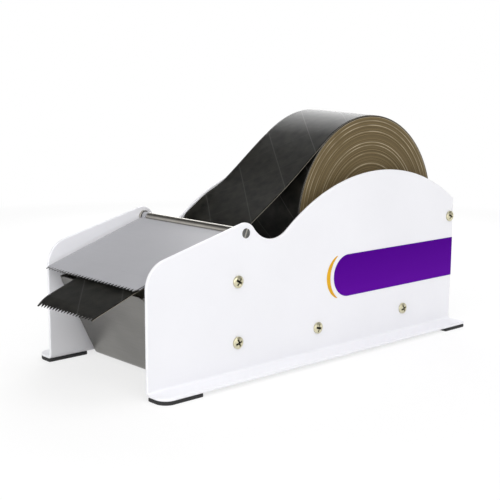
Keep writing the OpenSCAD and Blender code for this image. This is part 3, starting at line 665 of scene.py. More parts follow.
# %% The outline of a side plate
SHEET, BEND_INNER = 2.0, 1.5
SLOPE = 14.6
FRONT_HEIGHT, FRONT_CORNER = 81.5, 18.0
NOSE_BACK, NOSE_RADIUS = 78.6, 10.0
VALLEY_RADIUS = 21.0
CROWN_BACK, CROWN_RADIUS = 213.5, 152.0
REAR_CORNER, FOOT_FRONT_CORNER, FOOT_REAR_CORNER = 1.5, 8.0, 3.0
SHEET_EDGE = 0.55


def on_slope(y, radius):
    """Centre of a circle that touches the sloping top edge from below, at a distance y from the front."""
    slope = np.radians(SLOPE)
    return np.array([y, FRONT_HEIGHT + y * np.tan(slope) - radius / np.cos(slope)])


def bearing(vector):
    """Direction of a vector, in degrees."""
    return np.degrees(np.arctan2(vector[1], vector[0]))


def between_circles(p, p_reach, q, q_reach):
    """Upper crossing of two circles: along the line of centres by the cosine rule, then square to it."""
    gap = q - p
    span = np.linalg.norm(gap)
    along = (p_reach**2 - q_reach**2 + span**2) / (2 * span)
    aside = np.sqrt(p_reach**2 - along**2)
    u = gap / span
    return p + along * u + aside * np.array([-u[1], u[0]])


def wall_top():
    """The top edge of a wall from the rear corner to the front corner: five arcs and one straight slope."""
    front, nose = on_slope(FRONT_CORNER, FRONT_CORNER), on_slope(NOSE_BACK, NOSE_RADIUS)
    crown = np.array([CROWN_BACK, plate_high[2] - CROWN_RADIUS])
    valley = between_circles(nose, NOSE_RADIUS + VALLEY_RADIUS, crown, CROWN_RADIUS + VALLEY_RADIUS)
    inside = CROWN_RADIUS - REAR_CORNER
    rear_y = plate_length - REAR_CORNER
    rear = np.array([rear_y, crown[1] + np.sqrt(inside**2 - (rear_y - CROWN_BACK) ** 2)])
    to_crown, to_nose = bearing(crown - valley), bearing(nose - valley)
    return np.concatenate([
        arc(rear, REAR_CORNER, 0, bearing(rear - crown), 5),
        arc(crown, CROWN_RADIUS, bearing(rear - crown), bearing(valley - crown), 70)[1:],
        arc(valley, VALLEY_RADIUS, to_crown, to_nose - 360 if to_nose > to_crown else to_nose, 24)[1:],
        arc(nose, NOSE_RADIUS, bearing(valley - nose), 90 + SLOPE, 18)[1:],
        arc(front, FRONT_CORNER, 90 + SLOPE, 180, 24),
    ])


print("the top edge has", len(wall_top()), "points")

# %% Fold the blank
def side_plate():
    """The right plate: a blank folded along a line from the foot's edge, round the bend and upwards."""
    middle = SHEET / 2
    foot_z, wall_x = plate_low[2] + middle, side_x + middle
    reach = 2 * plate_high[2]
    foot_to_wall = [(plate_high[0], foot_z), (wall_x, foot_z), (wall_x, reach)]
    fold, turns, _ = bent_line(foot_to_wall, BEND_INNER + middle)
    wall_start = turns[turns < reach / 2].max()
    wall_start_z = fold(wall_start, 0.0)[1]
    top = wall_top() + [0, wall_start - wall_start_z]
    foot_front = arc((FOOT_FRONT_CORNER, FOOT_FRONT_CORNER), FOOT_FRONT_CORNER, 180, 270, 16)
    foot_rear = arc((plate_length - FOOT_REAR_CORNER, FOOT_REAR_CORNER), FOOT_REAR_CORNER, -90, 0, 7)
    blank = np.concatenate([foot_front, foot_rear, top]) + FRONT
    return slab(blank, -middle, middle, SHEET_EDGE, folded(fold, 1), turns[turns <= wall_start])


right_plate = side_plate()
piece("right_plate_sheet", right_plate, "white_paint", "frame", "right_side_plate")
piece("left_plate_sheet", mirrored(right_plate), "white_paint", "frame", "left_side_plate")

# %% [markdown]
# ## Feet, label and crescent
# Four rubber pads lie under the ends of the bent feet and follow their corners. The label is a thin film with
# one round end, and the crescent beside it is a second film, bounded by two arcs. A decal would be a texture;
# as thin slabs they have a true edge.

# %% Foot pads
FOOT_PAD_EDGE, FOOT_INNER_CORNER = 0.6, 1.2
for end, corner, foot_corner in (("front", 1, FOOT_FRONT_CORNER), ("rear", 2, FOOT_REAR_CORNER)):
    low, high = node_box(f"{end}_right_foot")
    radius = [FOOT_INNER_CORNER] * 4
    radius[corner] = foot_corner
    pad_corners = [low[:2], (high[0], low[1]), high[:2], (low[0], high[1])]
    pad = slab(rounded(pad_corners, radius, 10), low[2], high[2], FOOT_PAD_EDGE, upright)
    piece(f"{end}_right_pad", pad, "black_rubber", "frame", f"{end}_right_foot")
    piece(f"{end}_left_pad", mirrored(pad), "black_rubber", "frame", f"{end}_left_foot")

# %% Label and crescent
FILM_EDGE = 0.06
CRESCENT_GAP, CRESCENT_WIDTH = 3.6, 3.6
low, high = node_box("side_label")
half_high = (high - low)[2] / 2
round_end = np.array([low[1] + half_high, low[2] + half_high])
label = np.concatenate([arc(round_end, half_high, 90, 270, 40), [(high[1], low[2]), (high[1], high[2])]])
piece("label_sheet", slab(label, low[0], high[0], FILM_EDGE, across), "label_film", "frame", "side_label")

hollow = half_high + CRESCENT_GAP
bow = hollow - 2 * CRESCENT_WIDTH / 3
bow_centre = round_end + [bow - hollow - CRESCENT_WIDTH, 0]
bow_angle, hollow_angle = (np.degrees(np.arcsin(half_high / radius)) for radius in (bow, hollow))
crescent = np.concatenate([
    arc(bow_centre, bow, 180 - bow_angle, 180 + bow_angle, 40),
    arc(round_end, hollow, 180 + hollow_angle, 180 - hollow_angle, 40),
])
piece("crescent_sheet", slab(crescent, low[0], high[0], FILM_EDGE, across), "label_gold", "frame",
      "label_crescent")

# %% [markdown]
# ## Screws and nuts
# Domed cross-recess screws hold the bulkhead and the tie rods. A boolean would cut the cross, but it leaves
# poor faces round the dome. Instead a square grid is stretched to a disc, its height follows the dome, and
# the height drops where the two arms of the cross lie. No two screws are turned to the same angle.

# %% A screw's head
HEAD_RADIUS, HEAD_HEIGHT, HEAD_RIM = 4.0, 2.5, 1.1
CROSS_REACH, CROSS_HALF_WIDTH, CROSS_DEPTH = 2.8, 0.85, 1.7
CROSS_SOFT, CROSS_FLATTEN = 0.25, 0.45


def smooth_step(value):
    """0 below 0, 1 above 1, and 3 t t - 2 t t t between them."""
    t = np.clip(value, 0, 1)
    return t * t * (3 - 2 * t)


def screw_head(turn, count=49):
    """A disc of height rim + dome (1 - r r), less the depth of a cross. Grid values (a, b) from -1 to 1 go
    to the disc by u = a sqrt(1 - b b / 2) and v = b sqrt(1 - a a / 2). Also gives 1 for each vertex in the
    cross and 0 for the others, with a soft change between them."""
    a, b = np.meshgrid(*[np.linspace(-1, 1, count)] * 2, indexing="ij")
    u = a * np.sqrt(1 - b * b / 2) * HEAD_RADIUS
    v = b * np.sqrt(1 - a * a / 2) * HEAD_RADIUS
    share = (u * u + v * v) / HEAD_RADIUS**2
    arms = [
        smooth_step((CROSS_REACH - np.abs(p)) / CROSS_SOFT)
        * smooth_step((CROSS_HALF_WIDTH - np.abs(q)) / CROSS_SOFT)
        for p, q in ((u, v), (v, u))
    ]
    dome = HEAD_RIM + (HEAD_HEIGHT - HEAD_RIM) * (1 - share)
    cross = np.maximum(*arms)
    top = dome - CROSS_DEPTH * (1 - CROSS_FLATTEN * np.sqrt(share)) * cross
    angle = np.radians(turn)
    y, z = u * np.cos(angle) - v * np.sin(angle), u * np.sin(angle) + v * np.cos(angle)
    face = np.stack([top, y, z], axis=-1).reshape(-1, 3)
    index = np.arange(count * count).reshape(count, count)
    border = np.concatenate([index[0, :-1], index[:-1, -1], index[-1, :0:-1], index[:0:-1, 0]])
    base = face[border] * [0, 1, 1]
    below = np.arange(len(border)) + len(face)
    wall = np.stack([border, np.roll(border, -1), np.roll(below, -1), below], axis=-1)
    part = np.concatenate([face, base]), [grid_quads(count, count), wall, below[None]]
    return part, np.concatenate([cross.ravel(), np.zeros(len(base))])


print("a head has", len(screw_head(0)[0][0]), "vertices")

# %% Sets of screws
THREAD_RADIUS, SHANK_EDGE = 2.0, 0.3
TURN_PER_PLACE, TURN_PER_SIDE = 37, 61
BULKHEAD_SCREW, TIE_SCREW = 7.7, 12.0
BULKHEAD_TURN, TIE_TURN = 20, 75
TIE_RODS = {"front_tie_rod": "front_tie", "rear_tie_rod": "rear_tie", "back_tie_bar": "back_tie"}


def screws(places, length, first_turn):
    """Screws along X on both sides: heads outside the plates, shanks of the given length through them."""
    outer_x = side_x + SHEET
    made, sunk = [], []
    for k, place in enumerate(places):
        for side in (1, -1):
            (points, faces), cross = screw_head(first_turn + TURN_PER_PLACE * k + TURN_PER_SIDE * (side < 0))
            head = (points + [outer_x, *place], faces)
            shank = rod(outer_x - length, outer_x + HEAD_RIM / 2, THREAD_RADIUS, place, SHANK_EDGE, 24)
            made += [part if side > 0 else mirrored(part) for part in (head, shank)]
            sunk += [cross, np.zeros(len(shank[0]))]
    return joined(*made), np.concatenate(sunk)


def screw_set(name, node_name, places, length, first_turn):
    """A set of screws as one piece, with its sunk places stored as the attribute from which the zinc paints
    shade.
    """
    part, sunk = screws(places, length, first_turn)
    made = piece(name, part, "zinc", "frame", node_name)
    made.data.attributes.new("recess", "FLOAT", "POINT").data.foreach_set("value", sunk.astype(np.float32))


screw_low, screw_high = node_box("bulkhead_screws")
bulkhead_screw_y = (screw_low + screw_high)[1] / 2
screw_heights = (screw_low[2] + HEAD_RADIUS, screw_high[2] - HEAD_RADIUS)
bulkhead_places = [(bulkhead_screw_y, height) for height in screw_heights]
screw_set("bulkhead_screw_set", "bulkhead_screws", bulkhead_places, BULKHEAD_SCREW, BULKHEAD_TURN)
tie_places = [tuple(axis_of(name)[0]) for name in TIE_RODS]
screw_set("tie_rod_screw_set", "tie_rod_screws", tie_places, TIE_SCREW, TIE_TURN)

# %% Nuts behind the bulkhead's flanges
NUT_THICK, NUT_FLATS, NUT_CORNER, NUT_EDGE = 3.2, 7.0, 0.6, 0.35
BULKHEAD_SHEET = 1.5
hexagon = arc((0, 0), NUT_FLATS / np.sqrt(3), 0, 360, 7)[:-1]
nut_x = side_x - BULKHEAD_SHEET - NUT_THICK
nuts = [slab(rounded(hexagon + place, NUT_CORNER), nut_x, nut_x + NUT_THICK, NUT_EDGE, across)
        for place in bulkhead_places]
piece("bulkhead_nut_set", joined(*nuts, *map(mirrored, nuts)), "zinc", "frame", "bulkhead_nuts")

# %% [markdown]
# ## Bulkhead and water tank
# The bulkhead is a channel of sheet that ties the plates and carries the tank, which hooks over its top edge.
# The tank is one strip of stainless bent to a trough, with two end walls. Five planes with thickness would
# give hard folds; a folded blank has real bends, and its lip corners are rounded on the flat.

# %% Bulkhead
BULKHEAD_BEND, BULKHEAD_CORNER, BULKHEAD_EDGE = 1.6, 1.5, 0.4
low, high = node_box("tank_bulkhead")
middle = BULKHEAD_SHEET / 2
channel = [(low[0] + middle, high[1]), (low[0] + middle, low[1] + middle),
           (high[0] - middle, low[1] + middle), (high[0] - middle, high[1])]
fold, turns, length = bent_line(channel, BULKHEAD_BEND)
blank = rounded([(low[2], 0), (high[2], 0), (high[2], length), (low[2], length)], BULKHEAD_CORNER)
bulkhead = slab(blank, -middle, middle, BULKHEAD_EDGE, folded(fold, 2), turns)
piece("bulkhead_channel_sheet", bulkhead, "white_paint", "frame", "tank_bulkhead")

# %% The tank's strip
TANK_SHEET, TANK_EDGE, TANK_LEAN, TANK_LIP = 1.0, 0.3, np.radians(25.6), 62.0
TANK_BEND, TANK_LIP_CORNER, TANK_BACK_GAP = 4.5, 5.0, 0.8
HOOK_BEND, HOOK_DROP, HOOK_CORNER = 0.9, 7.0, 0.8
low, high = node_box("water_tank")
half = TANK_SHEET / 2
lip = np.array([low[1] + half, TANK_LIP - half])
base_z, top_z = low[2] + half, high[2] - half
back_y = node_box("tank_bulkhead")[0][1] - TANK_BACK_GAP
foot_y = lip[0] + (lip[1] - base_z) * np.tan(TANK_LEAN)
trough = [lip, (foot_y, base_z), (back_y, base_z), (back_y, top_z)]
hook = [(high[1] - half, top_z), (high[1] - half, top_z - HOOK_DROP)]
fold, turns, length = bent_line(trough + hook, [0, TANK_BEND, TANK_BEND, HOOK_BEND, HOOK_BEND, 0])
blank = rounded([(low[0], 0), (high[0], 0), (high[0], length), (low[0], length)],
                [TANK_LIP_CORNER, TANK_LIP_CORNER, HOOK_CORNER, HOOK_CORNER], 8)
tank_strip = slab(blank, -half, half, TANK_EDGE, folded(fold, 0), turns)
print("the tank's strip is", round(length, 1), "mm long")

# %% The tank's end walls
BUSH_SLOT, END_INSET, END_EDGE = 4.15, 0.06, 0.25
wet_centre, wet_radius = axis_of("wetting_roller")
slope_top = (top_z - lip[1]) / (back_y - lip[0])
slot_back, slot_front = (
    (wet_centre[0] + way, lip[1] + slope_top * (wet_centre[0] + way - lip[0]))
    for way in (BUSH_SLOT, -BUSH_SLOT))
end_wall = np.concatenate([
    rounded(trough, [0, TANK_BEND, TANK_BEND, 0], 8),
    [slot_back],
    arc(wet_centre, BUSH_SLOT, 0, -180, 16),
    [slot_front],
])
end_x = high[0] - END_INSET
end_sheet = slab(end_wall, end_x - TANK_SHEET, end_x, END_EDGE, across)
piece("tank_sheet", joined(tank_strip, end_sheet, mirrored(end_sheet)), "stainless", "frame", "water_tank")

# %% [markdown]
# ## Wetting roller
# A felt cylinder on a steel axle dips into the water and touches the gummed side. The felt is not a true
# cylinder: it is a little lumpy, which a sum of slow waves in the angle and along the axle gives.

# %% Felt roller
FELT_RISE, FELT_EDGE, FELT_ROWS = 0.14, 1.0, 80
FELT_WAVES = ((7, 0.31), (13, -0.53), (23, 1.1), (0, 1.7))


def lumpy_cylinder(x0, x1, radius, centre):
    """r = radius - rise (1 - w), where w is the mean of four sines, each of a number of angles plus a number
    of x. Both ends are rounded over."""
    corners = [(x0, radius / 2), (x0, radius), (x1, radius), (x1, radius / 2)]
    profile = rounded(corners, FELT_EDGE, 6, closed=False)
    end = len(profile) // 2
    between_ends = np.linspace(x0 + 2 * FELT_EDGE, x1 - 2 * FELT_EDGE, FELT_ROWS)
    x = np.concatenate([profile[:end, 0], between_ends, profile[end:, 0]])
    r = np.concatenate([profile[:end, 1], np.full(FELT_ROWS, radius), profile[end:, 1]])
    points, faces = turned(np.stack([x, r], axis=-1), (0, 0), 96)
    angle = np.arctan2(points[:, 2], points[:, 1])
    wave = sum(np.sin(turns * angle + rate * points[:, 0]) for turns, rate in FELT_WAVES) / len(FELT_WAVES)
    outside = np.hypot(points[:, 1], points[:, 2]) > radius - FELT_EDGE
    grow = 1 - FELT_RISE / radius * (1 - wave) * outside
    return points * np.stack([np.ones_like(grow), grow, grow], axis=-1) + [0, *centre], faces


low, high = node_box("wetting_roller")
felt = lumpy_cylinder(low[0], high[0], wet_radius, wet_centre)
piece("felt_roller", felt, "felt", "wetting_roller", "wetting_roller")

# %% Axle and bushes
AXLE_CLEAR, AXLE_EDGE = 0.05, 0.5
BUSH_FLANGE, BUSH_STEP, BUSH_EDGE = 1.5, 2.0, 0.2


def node_rod(name, centre, edge):
    """A rod along X with the length and the radius of a construction node."""
    low, high = node_box(name)
    return rod(low[0], high[0], axis_of(name)[1], centre, edge)


def node_tube(name, inner, centre, edge, steps=64):
    """A tube along X with the length and the outer radius of a construction node."""
    low, high = node_box(name)
    return ring(low[0], high[0], inner, axis_of(name)[1], centre, edge, steps)


axle = node_rod("wetting_axle", wet_centre, AXLE_EDGE)
piece("felt_roller_axle", axle, "polished_rod", "wetting_roller", "wetting_axle")
low, high = node_box("wetting_bush_right")
flange_r, bore_r = axis_of("wetting_bush_right")[1], axis_of("wetting_axle")[1] + AXLE_CLEAR
neck_r = flange_r - BUSH_STEP
neck_low, neck_high = low[0] + BUSH_FLANGE, high[0] - BUSH_FLANGE
spool = [(low[0], bore_r), (high[0], bore_r), (high[0], flange_r), (neck_high, flange_r),
         (neck_high, neck_r), (neck_low, neck_r), (neck_low, flange_r), (low[0], flange_r)]
bush = turned(braced(rounded(spool, BUSH_EDGE), BUSH_EDGE), wet_centre, closed=True)
piece("right_bush", bush, "nylon", "frame", "wetting_bush_right")
piece("left_bush", mirrored(bush), "nylon", "frame", "wetting_bush_left")

# %% [markdown]
# ## Guide rod
# A steel axle runs between both noses, held by a slotted nut that sits almost flush in each plate. A sleeve
# turns on it under the tape, and spacers keep the cover's eyes in place. These are lathe parts, so each is
# one short profile. A slot could be cut, but here two dark half discs on a bright nut leave it open.

# %% Axle, sleeve and spacers
GUIDE_EDGE, TUBE_EDGE = 0.3, 0.25
guide, guide_radius = axis_of("guide_axle")
guide_bore = guide_radius + AXLE_CLEAR
guide_bar = node_rod("guide_axle", guide, GUIDE_EDGE)
piece("guide_axle_bar", guide_bar, "polished_rod", "frame", "guide_axle")
sleeve = node_tube("guide_sleeve", guide_bore, guide, TUBE_EDGE)
piece("guide_sleeve_tube", sleeve, "polished_rod", "guide_sleeve", "guide_sleeve")
for side in ("right", "left"):
    spacer = node_tube(f"guide_spacer_{side}", guide_bore, guide, TUBE_EDGE)
    piece(f"{side}_spacer", spacer, "polished_rod", "frame", f"guide_spacer_{side}")

# %% Slotted nuts
SLOT_WIDTH, SLOT_DEPTH, SLOT_TURN = 1.2, 0.3, 68.0
CHEEK_SUNK, CHEEK_EDGE, NUT_BASE_EDGE = 0.2, 0.25, 0.1
nut_top, nut_radius = node_box("guide_end_nuts")[1][0], axis_of("guide_end_nuts")[1]
slot_floor = nut_top - SLOT_DEPTH
open_angle = np.degrees(np.arcsin(SLOT_WIDTH / 2 / nut_radius))
half_disc = arc((0, 0), nut_radius, open_angle, 180 - open_angle, 24)
turn = np.radians(SLOT_TURN)
turned_by = np.array([[np.cos(turn), np.sin(turn)], [-np.sin(turn), np.cos(turn)]])
cheeks = [slab(way * half_disc @ turned_by + guide, slot_floor - CHEEK_SUNK, nut_top, CHEEK_EDGE, across)
          for way in (1, -1)]
nut_base = rod(side_x, slot_floor, nut_radius, guide, NUT_BASE_EDGE)
slotted = joined(nut_base, *cheeks)
nut_pair = joined(slotted, mirrored(slotted))
slotted_nuts = piece("slotted_nuts", nut_pair, "polished_rod", "frame", "guide_end_nuts")
base_faces, all_faces = (sum(map(len, faces)) for _, faces in (nut_base, slotted))
second_finish(slotted_nuts, "dark_steel_and_painted_reflection", np.tile(np.arange(all_faces) >= base_faces, 2))

# %% [markdown]
# ## Cover and cutter
# The cover is a flat satin sheet with an eye at each rear corner that turns on the guide axle. A toothed
# strip lies flush in its front edge, on a lip, and below it a thin rubber strip presses the tape down, with a
# block that guides the tape's far edge. They are drawn in the cover's own plane, with the hinge line as zero,
# and turned to its slope. The toothed strip has the same satin face as the sheet. The flanks of its teeth
# get a dark finish, chosen by the direction of each face, as a painted reflection of the dark tape below.

# %% Cover
COVER_SLOPE = np.radians(18.7)
COVER_SHEET, COVER_REACH, COVER_EDGE, COVER_CORNER = 1.2, 1.0, 0.12, 0.2
EYE_WIDTH, TAB_GAP, SLEEVE_ROOM, NOTCH_CORNER = 4.5, 0.5, 3.6, 0.3
BLADE_SHEET, BLADE_BACK = 0.6, 14.0
LIP_BACK, LIP_LAP, LIP_INSET = 1.0, 1.0, 0.01


def cover_place(x, run, n):
    """From the cover's plane to the frame: run along the slope and n square to it, from the hinge line."""
    y = guide[0] + run * np.cos(COVER_SLOPE) - n * np.sin(COVER_SLOPE)
    z = guide[1] + run * np.sin(COVER_SLOPE) + n * np.cos(COVER_SLOPE)
    return np.stack([x, y, z], axis=-1)


def cover_block(x0, x1, front, end, corner, low, high, edge):
    """A flat block in the cover's plane, between two places across it, two along it and two heights."""
    corners = [(x0, front), (x1, front), (x1, end), (x0, end)]
    return slab(rounded(corners, corner), low, high, edge, cover_place)


cover_x0, cover_x1 = node_box("cover_plate")[0][0], node_box("cover_plate")[1][0]
eye_x0, eye_x1 = cover_x0 + EYE_WIDTH, cover_x1 - EYE_WIDTH
eye_radius = guide_bore + COVER_SHEET
cover_front = -(guide[0] - FRONT[0] + COVER_REACH) / np.cos(COVER_SLOPE)
blade_end = cover_front + BLADE_BACK
tab_end = -(guide_radius + TAB_GAP)
sheet_top, blade_low = COVER_SHEET / 2, COVER_SHEET / 2 - BLADE_SHEET
sheet_corners = [
    (cover_x0, blade_end), (cover_x1, blade_end), (cover_x1, tab_end), (eye_x1, tab_end),
    (eye_x1, -SLEEVE_ROOM), (eye_x0, -SLEEVE_ROOM), (eye_x0, tab_end), (cover_x0, tab_end),
]
sheet_radius = [COVER_CORNER] * 4 + [NOTCH_CORNER] * 2 + [COVER_CORNER] * 2
sheet = slab(rounded(sheet_corners, sheet_radius), -sheet_top, sheet_top, COVER_EDGE, cover_place)
lip = cover_block(cover_x0, cover_x1, cover_front + LIP_BACK, blade_end + LIP_LAP, COVER_CORNER,
                  LIP_INSET - sheet_top, blade_low, COVER_EDGE)
eyes = [ring(x, x + EYE_WIDTH, guide_bore, eye_radius, guide, TUBE_EDGE) for x in (cover_x0, eye_x1)]
piece("cover_sheet_metal", joined(sheet, lip, *eyes), "cover_sheet", "cover", "cover_plate")

# %% Teeth
TOOTH_PITCH, TOOTH_DEPTH, BLADE_EDGE, FLANK_LIMIT = 3.36, 2.9, 0.05, 0.9
blade_box = node_box("cutter_blade")
tooth_count = int(round((blade_box[1] - blade_box[0])[0] / TOOTH_PITCH))
tooth_x = np.linspace(blade_box[0][0], blade_box[1][0], 2 * tooth_count + 1)
tooth_edge = np.stack([tooth_x, cover_front - TOOTH_DEPTH * (np.arange(2 * tooth_count + 1) % 2)], axis=-1)
blade_outline = np.concatenate([tooth_edge, [(tooth_x[-1], blade_end), (tooth_x[0], blade_end)]])
blade = slab(blade_outline, blade_low, sheet_top, BLADE_EDGE, cover_place)
cutter = piece("toothed_blade", blade, "stainless", "cover", "cutter_blade", look="cover_sheet")
face_normal = np.zeros(3 * len(cutter.data.polygons), np.float32)
cutter.data.polygons.foreach_get("normal", face_normal)
upward = face_normal.reshape(-1, 3)[:, 1:] @ [-np.sin(COVER_SLOPE), np.cos(COVER_SLOPE)]
# painted reflection: faces that don't face up, the teeth's flanks, get the dark finish
second_finish(cutter, "dark_steel_and_painted_reflection", upward < FLANK_LIMIT)
print("the cutter has", tooth_count, "teeth")

# %% Press strip and its guide block
STRIP_BACK, STRIP_WIDTH, STRIP_SHEET, STRIP_CORNER, STRIP_EDGE = 2.0, 7.0, 0.5, 0.6, 0.1
GUIDE_BLOCK, GUIDE_BLOCK_GAP, GUIDE_BLOCK_EDGE = 2.7, 1.0, 0.35
strip_front = cover_front + STRIP_BACK
strip_end = strip_front + STRIP_WIDTH
strip_x0, strip_x1 = node_box("press_strip")[0][0], node_box("press_strip")[1][0]
block_x1 = node_box("tape_roll")[0][0] - GUIDE_BLOCK_GAP
strip, guide_block = (
    cover_block(strip_x0, x1, strip_front, strip_end, STRIP_CORNER, -sheet_top - thick, -sheet_top, edge)
    for x1, thick, edge in ((strip_x1, STRIP_SHEET, STRIP_EDGE), (block_x1, GUIDE_BLOCK, GUIDE_BLOCK_EDGE)))
piece("rubber_press_strip", joined(strip, guide_block), "black_rubber", "cover", "press_strip")

# %% [markdown]
# ## Tie rods, spindle, hubs and core
# Three round bars tie the plates. The roll sits on two plastic hubs on a spindle, which drops into slotted
# holders and has a collar with a grub screw. All of these are lathe profiles or small slabs.

# %% Tie rods and spindle holders
TIE_EDGE, HOLDER_EDGE = 0.6, 0.4
for name, label in TIE_RODS.items():
    piece(label, node_rod(name, axis_of(name)[0], TIE_EDGE), "zinc", "frame", name)

roll_axis, roll_radius = axis_of("tape_roll")
spindle_radius = axis_of("spindle")[1]
low, high = node_box("spindle_holder_right")
holder_half = (high - low)[1] / 2
bore = spindle_radius + AXLE_CLEAR
foot_centre = (roll_axis[0], low[2] + holder_half)
holder_outline = np.concatenate([
    arc(foot_centre, holder_half, 180, 360, 40),
    [(high[1], high[2]), (roll_axis[0] + bore, high[2])],
    arc(roll_axis, bore, 0, -180, 24),
    [(roll_axis[0] - bore, high[2]), (low[1], high[2])],
])
holder = slab(holder_outline, low[0], high[0], HOLDER_EDGE, across)
piece("right_holder", holder, "zinc", "frame", "spindle_holder_right")
piece("left_holder", mirrored(holder), "zinc", "frame", "spindle_holder_left")

# %% Spindle and hubs
CORE_WALL, SPINDLE_EDGE = 4.0, 0.8
HUB_PLUG, HUB_EDGE, DISH_DEPTH = 12.0, 0.3, 1.0
HUB_RIM, HUB_RIM_FOOT, HUB_BOSS, HUB_BOSS_FOOT = 4.0, 6.0, 4.0, 5.0
spindle = node_rod("spindle", roll_axis, SPINDLE_EDGE)
piece("spindle_bar", spindle, "polished_rod", "tape_roll", "spindle")
roll_x0, roll_x1 = node_box("tape_roll")[0][0], node_box("tape_roll")[1][0]
core_radius = axis_of("roll_core")[1]
core_inner = core_radius - CORE_WALL
plug_radius = core_inner - AXLE_CLEAR
for side, face, way in (("right", roll_x1, 1), ("left", roll_x0, -1)):
    low, high = node_box(f"hub_{side}")
    outer = high[0] if way > 0 else low[0]
    plug, dish = face - way * HUB_PLUG, outer - way * DISH_DEPTH
    flange_radius = axis_of(f"hub_{side}")[1]
    hub_profile = rounded([
        (plug, bore), (plug, plug_radius), (face, plug_radius), (face, flange_radius), (outer, flange_radius),
        (outer, flange_radius - HUB_RIM), (dish, flange_radius - HUB_RIM_FOOT),
        (dish, bore + HUB_BOSS_FOOT), (outer, bore + HUB_BOSS), (outer, bore),
    ], HUB_EDGE)
    hub = turned(braced(hub_profile, HUB_EDGE), roll_axis, 96, closed=True)
    piece(f"{side}_hub", hub, "nylon", "tape_roll", f"hub_{side}")

# %% Collar, core and grub screw
COLLAR_EDGE, CORE_EDGE, GRUB_EDGE = 0.5, 0.4, 0.3
collar = node_tube("spindle_collar", bore, roll_axis, COLLAR_EDGE)
piece("locking_collar", collar, "polished_rod", "tape_roll", "spindle_collar")
core = node_tube("roll_core", core_inner, roll_axis, CORE_EDGE, 96)
piece("core_tube", core, "card", "tape_roll", "roll_core")
low, high = node_box("collar_screw")
grub_outline = arc((low + high)[:2] / 2, (high - low)[0] / 2, 0, 360, 33)[:-1]
grub = slab(grub_outline, low[2], high[2], GRUB_EDGE, upright)
piece("grub_screw", grub, "zinc", "tape_roll", "collar_screw")

# %% [markdown]
# ## The wound roll
# The end faces of a roll are never quite flat: some turns stand back a little. The face is a grid of radius
# and angle, and its set-back is a sum of waves of the radius that drift slowly with the angle.

# %% Roll of tape
LAYER_SETBACK, FACE_FADE, FACE_END, ROLL_EDGE = 0.30, 1.5, 0.4, 0.35
LAYER_WAVES = ((0.9, 0), (2.3, 1), (4.9, 2), (9.7, 4))


def wound_roll(x0, x1, inner, outer, centre, rings=90, steps=160):
    """A tube whose end faces are set back by LAYER_SETBACK times (1 + w) / 2, where w is the mean of four
    sines of the radius, all shifted by a small wave of the angle. Also gives which faces lie on the outside,
    and each vertex's flat place."""
    face = np.linspace(inner, outer - FACE_END, rings)
    section = [(x1, inner), (x1, outer), (x0, outer), (x0, inner)]
    corner = rounded(section, ROLL_EDGE, 4, closed=False)[1:-1]
    near = np.stack([np.full(rings, x1), face], axis=-1)
    far = np.stack([np.full(rings, x0), face[::-1]], axis=-1)
    points, faces = turned(np.concatenate([near, corner, far]), (0, 0), steps, closed=True)
    row = np.arange(len(faces[0])) // steps
    outside = (row >= rings - 1) & (row < rings + len(corner))
    angle = np.arctan2(points[:, 2], points[:, 1])
    radius = np.hypot(points[:, 1], points[:, 2])
    drift = 0.3 * np.sin(angle) + 0.2 * np.sin(2 * angle + 1)
    wave = sum(np.sin(rate * radius + shift + drift) for rate, shift in LAYER_WAVES) / len(LAYER_WAVES)
    on_face = smooth_step((outer - radius) / FACE_FADE)
    setback = LAYER_SETBACK * (1 + wave) / 2 * on_face
    points[:, 0] += np.where(points[:, 0] > (x0 + x1) / 2, -setback, setback)
    flat = np.stack([points[:, 0] - x0, angle % (2 * np.pi) * radius], axis=-1) / 100
    return (points + [0, *centre], faces), outside, flat


roll_inner = core_radius + AXLE_CLEAR
roll_part, roll_outside, roll_flat = wound_roll(roll_x0, roll_x1, roll_inner, roll_radius, roll_axis)
roll = piece("wound_tape", roll_part, "kraft", "tape_roll", "tape_roll")
second_finish(roll, "tape", roll_outside)
flatten(roll, roll_flat)

# %% [markdown]
# ## The tape on its way
# The outer turn leaves the roll, dips under the guide rod, runs on below the cover and ends in a torn zigzag
# in front of it. A curve with a flat bevel could follow this path, but paper also lifts and curls. So the
# tape is a grid of distance along the path and place across it, pushed along the path's normal: the loose
# turn stands off the roll on its far side, the far edge curls and flares above the rod, the run between roll
# and rod sags a little, and the torn end twists.

# %% The path of the tape
TAPE_THICK, TAPE_GAP = 0.3, 0.3
WRAP_TURN, TUCK_TURN = np.radians([355, 40])
TAIL_BEND, TAIL_STRAIGHT, TAIL_LENGTH = 4.0, 21.5, 9.5
TAIL_SLOPE, TAIL_DROOP = np.radians([21.5, 10])
wrap_radius = roll_radius + TAPE_GAP + TAPE_THICK / 2
dip_radius = eye_radius + TAPE_GAP + TAPE_THICK / 2
centre_gap = roll_axis - guide
web_angle = np.arctan2(*centre_gap[::-1])
web_angle += np.arcsin((wrap_radius + dip_radius) / np.linalg.norm(centre_gap))


def facing(angle):
    """The upper side's direction where the tape climbs to the rear at the given angle."""
    return np.stack([-np.sin(angle), np.cos(angle)], axis=-1)


def drooping(start, slope, more, length, count):
    """An arc that runs forward from a point at a slope and turns down by more: with r = length / more, it
    moves by r times the change of the upper direction."""
    angle = np.linspace(slope, slope + more, count)
    return start + length / more * (facing(angle) - facing(slope)), angle


def straight(start, end, count):
    """Points between two places, without the first."""
    return start + np.linspace(0, 1, count)[1:, None] * (end - start)


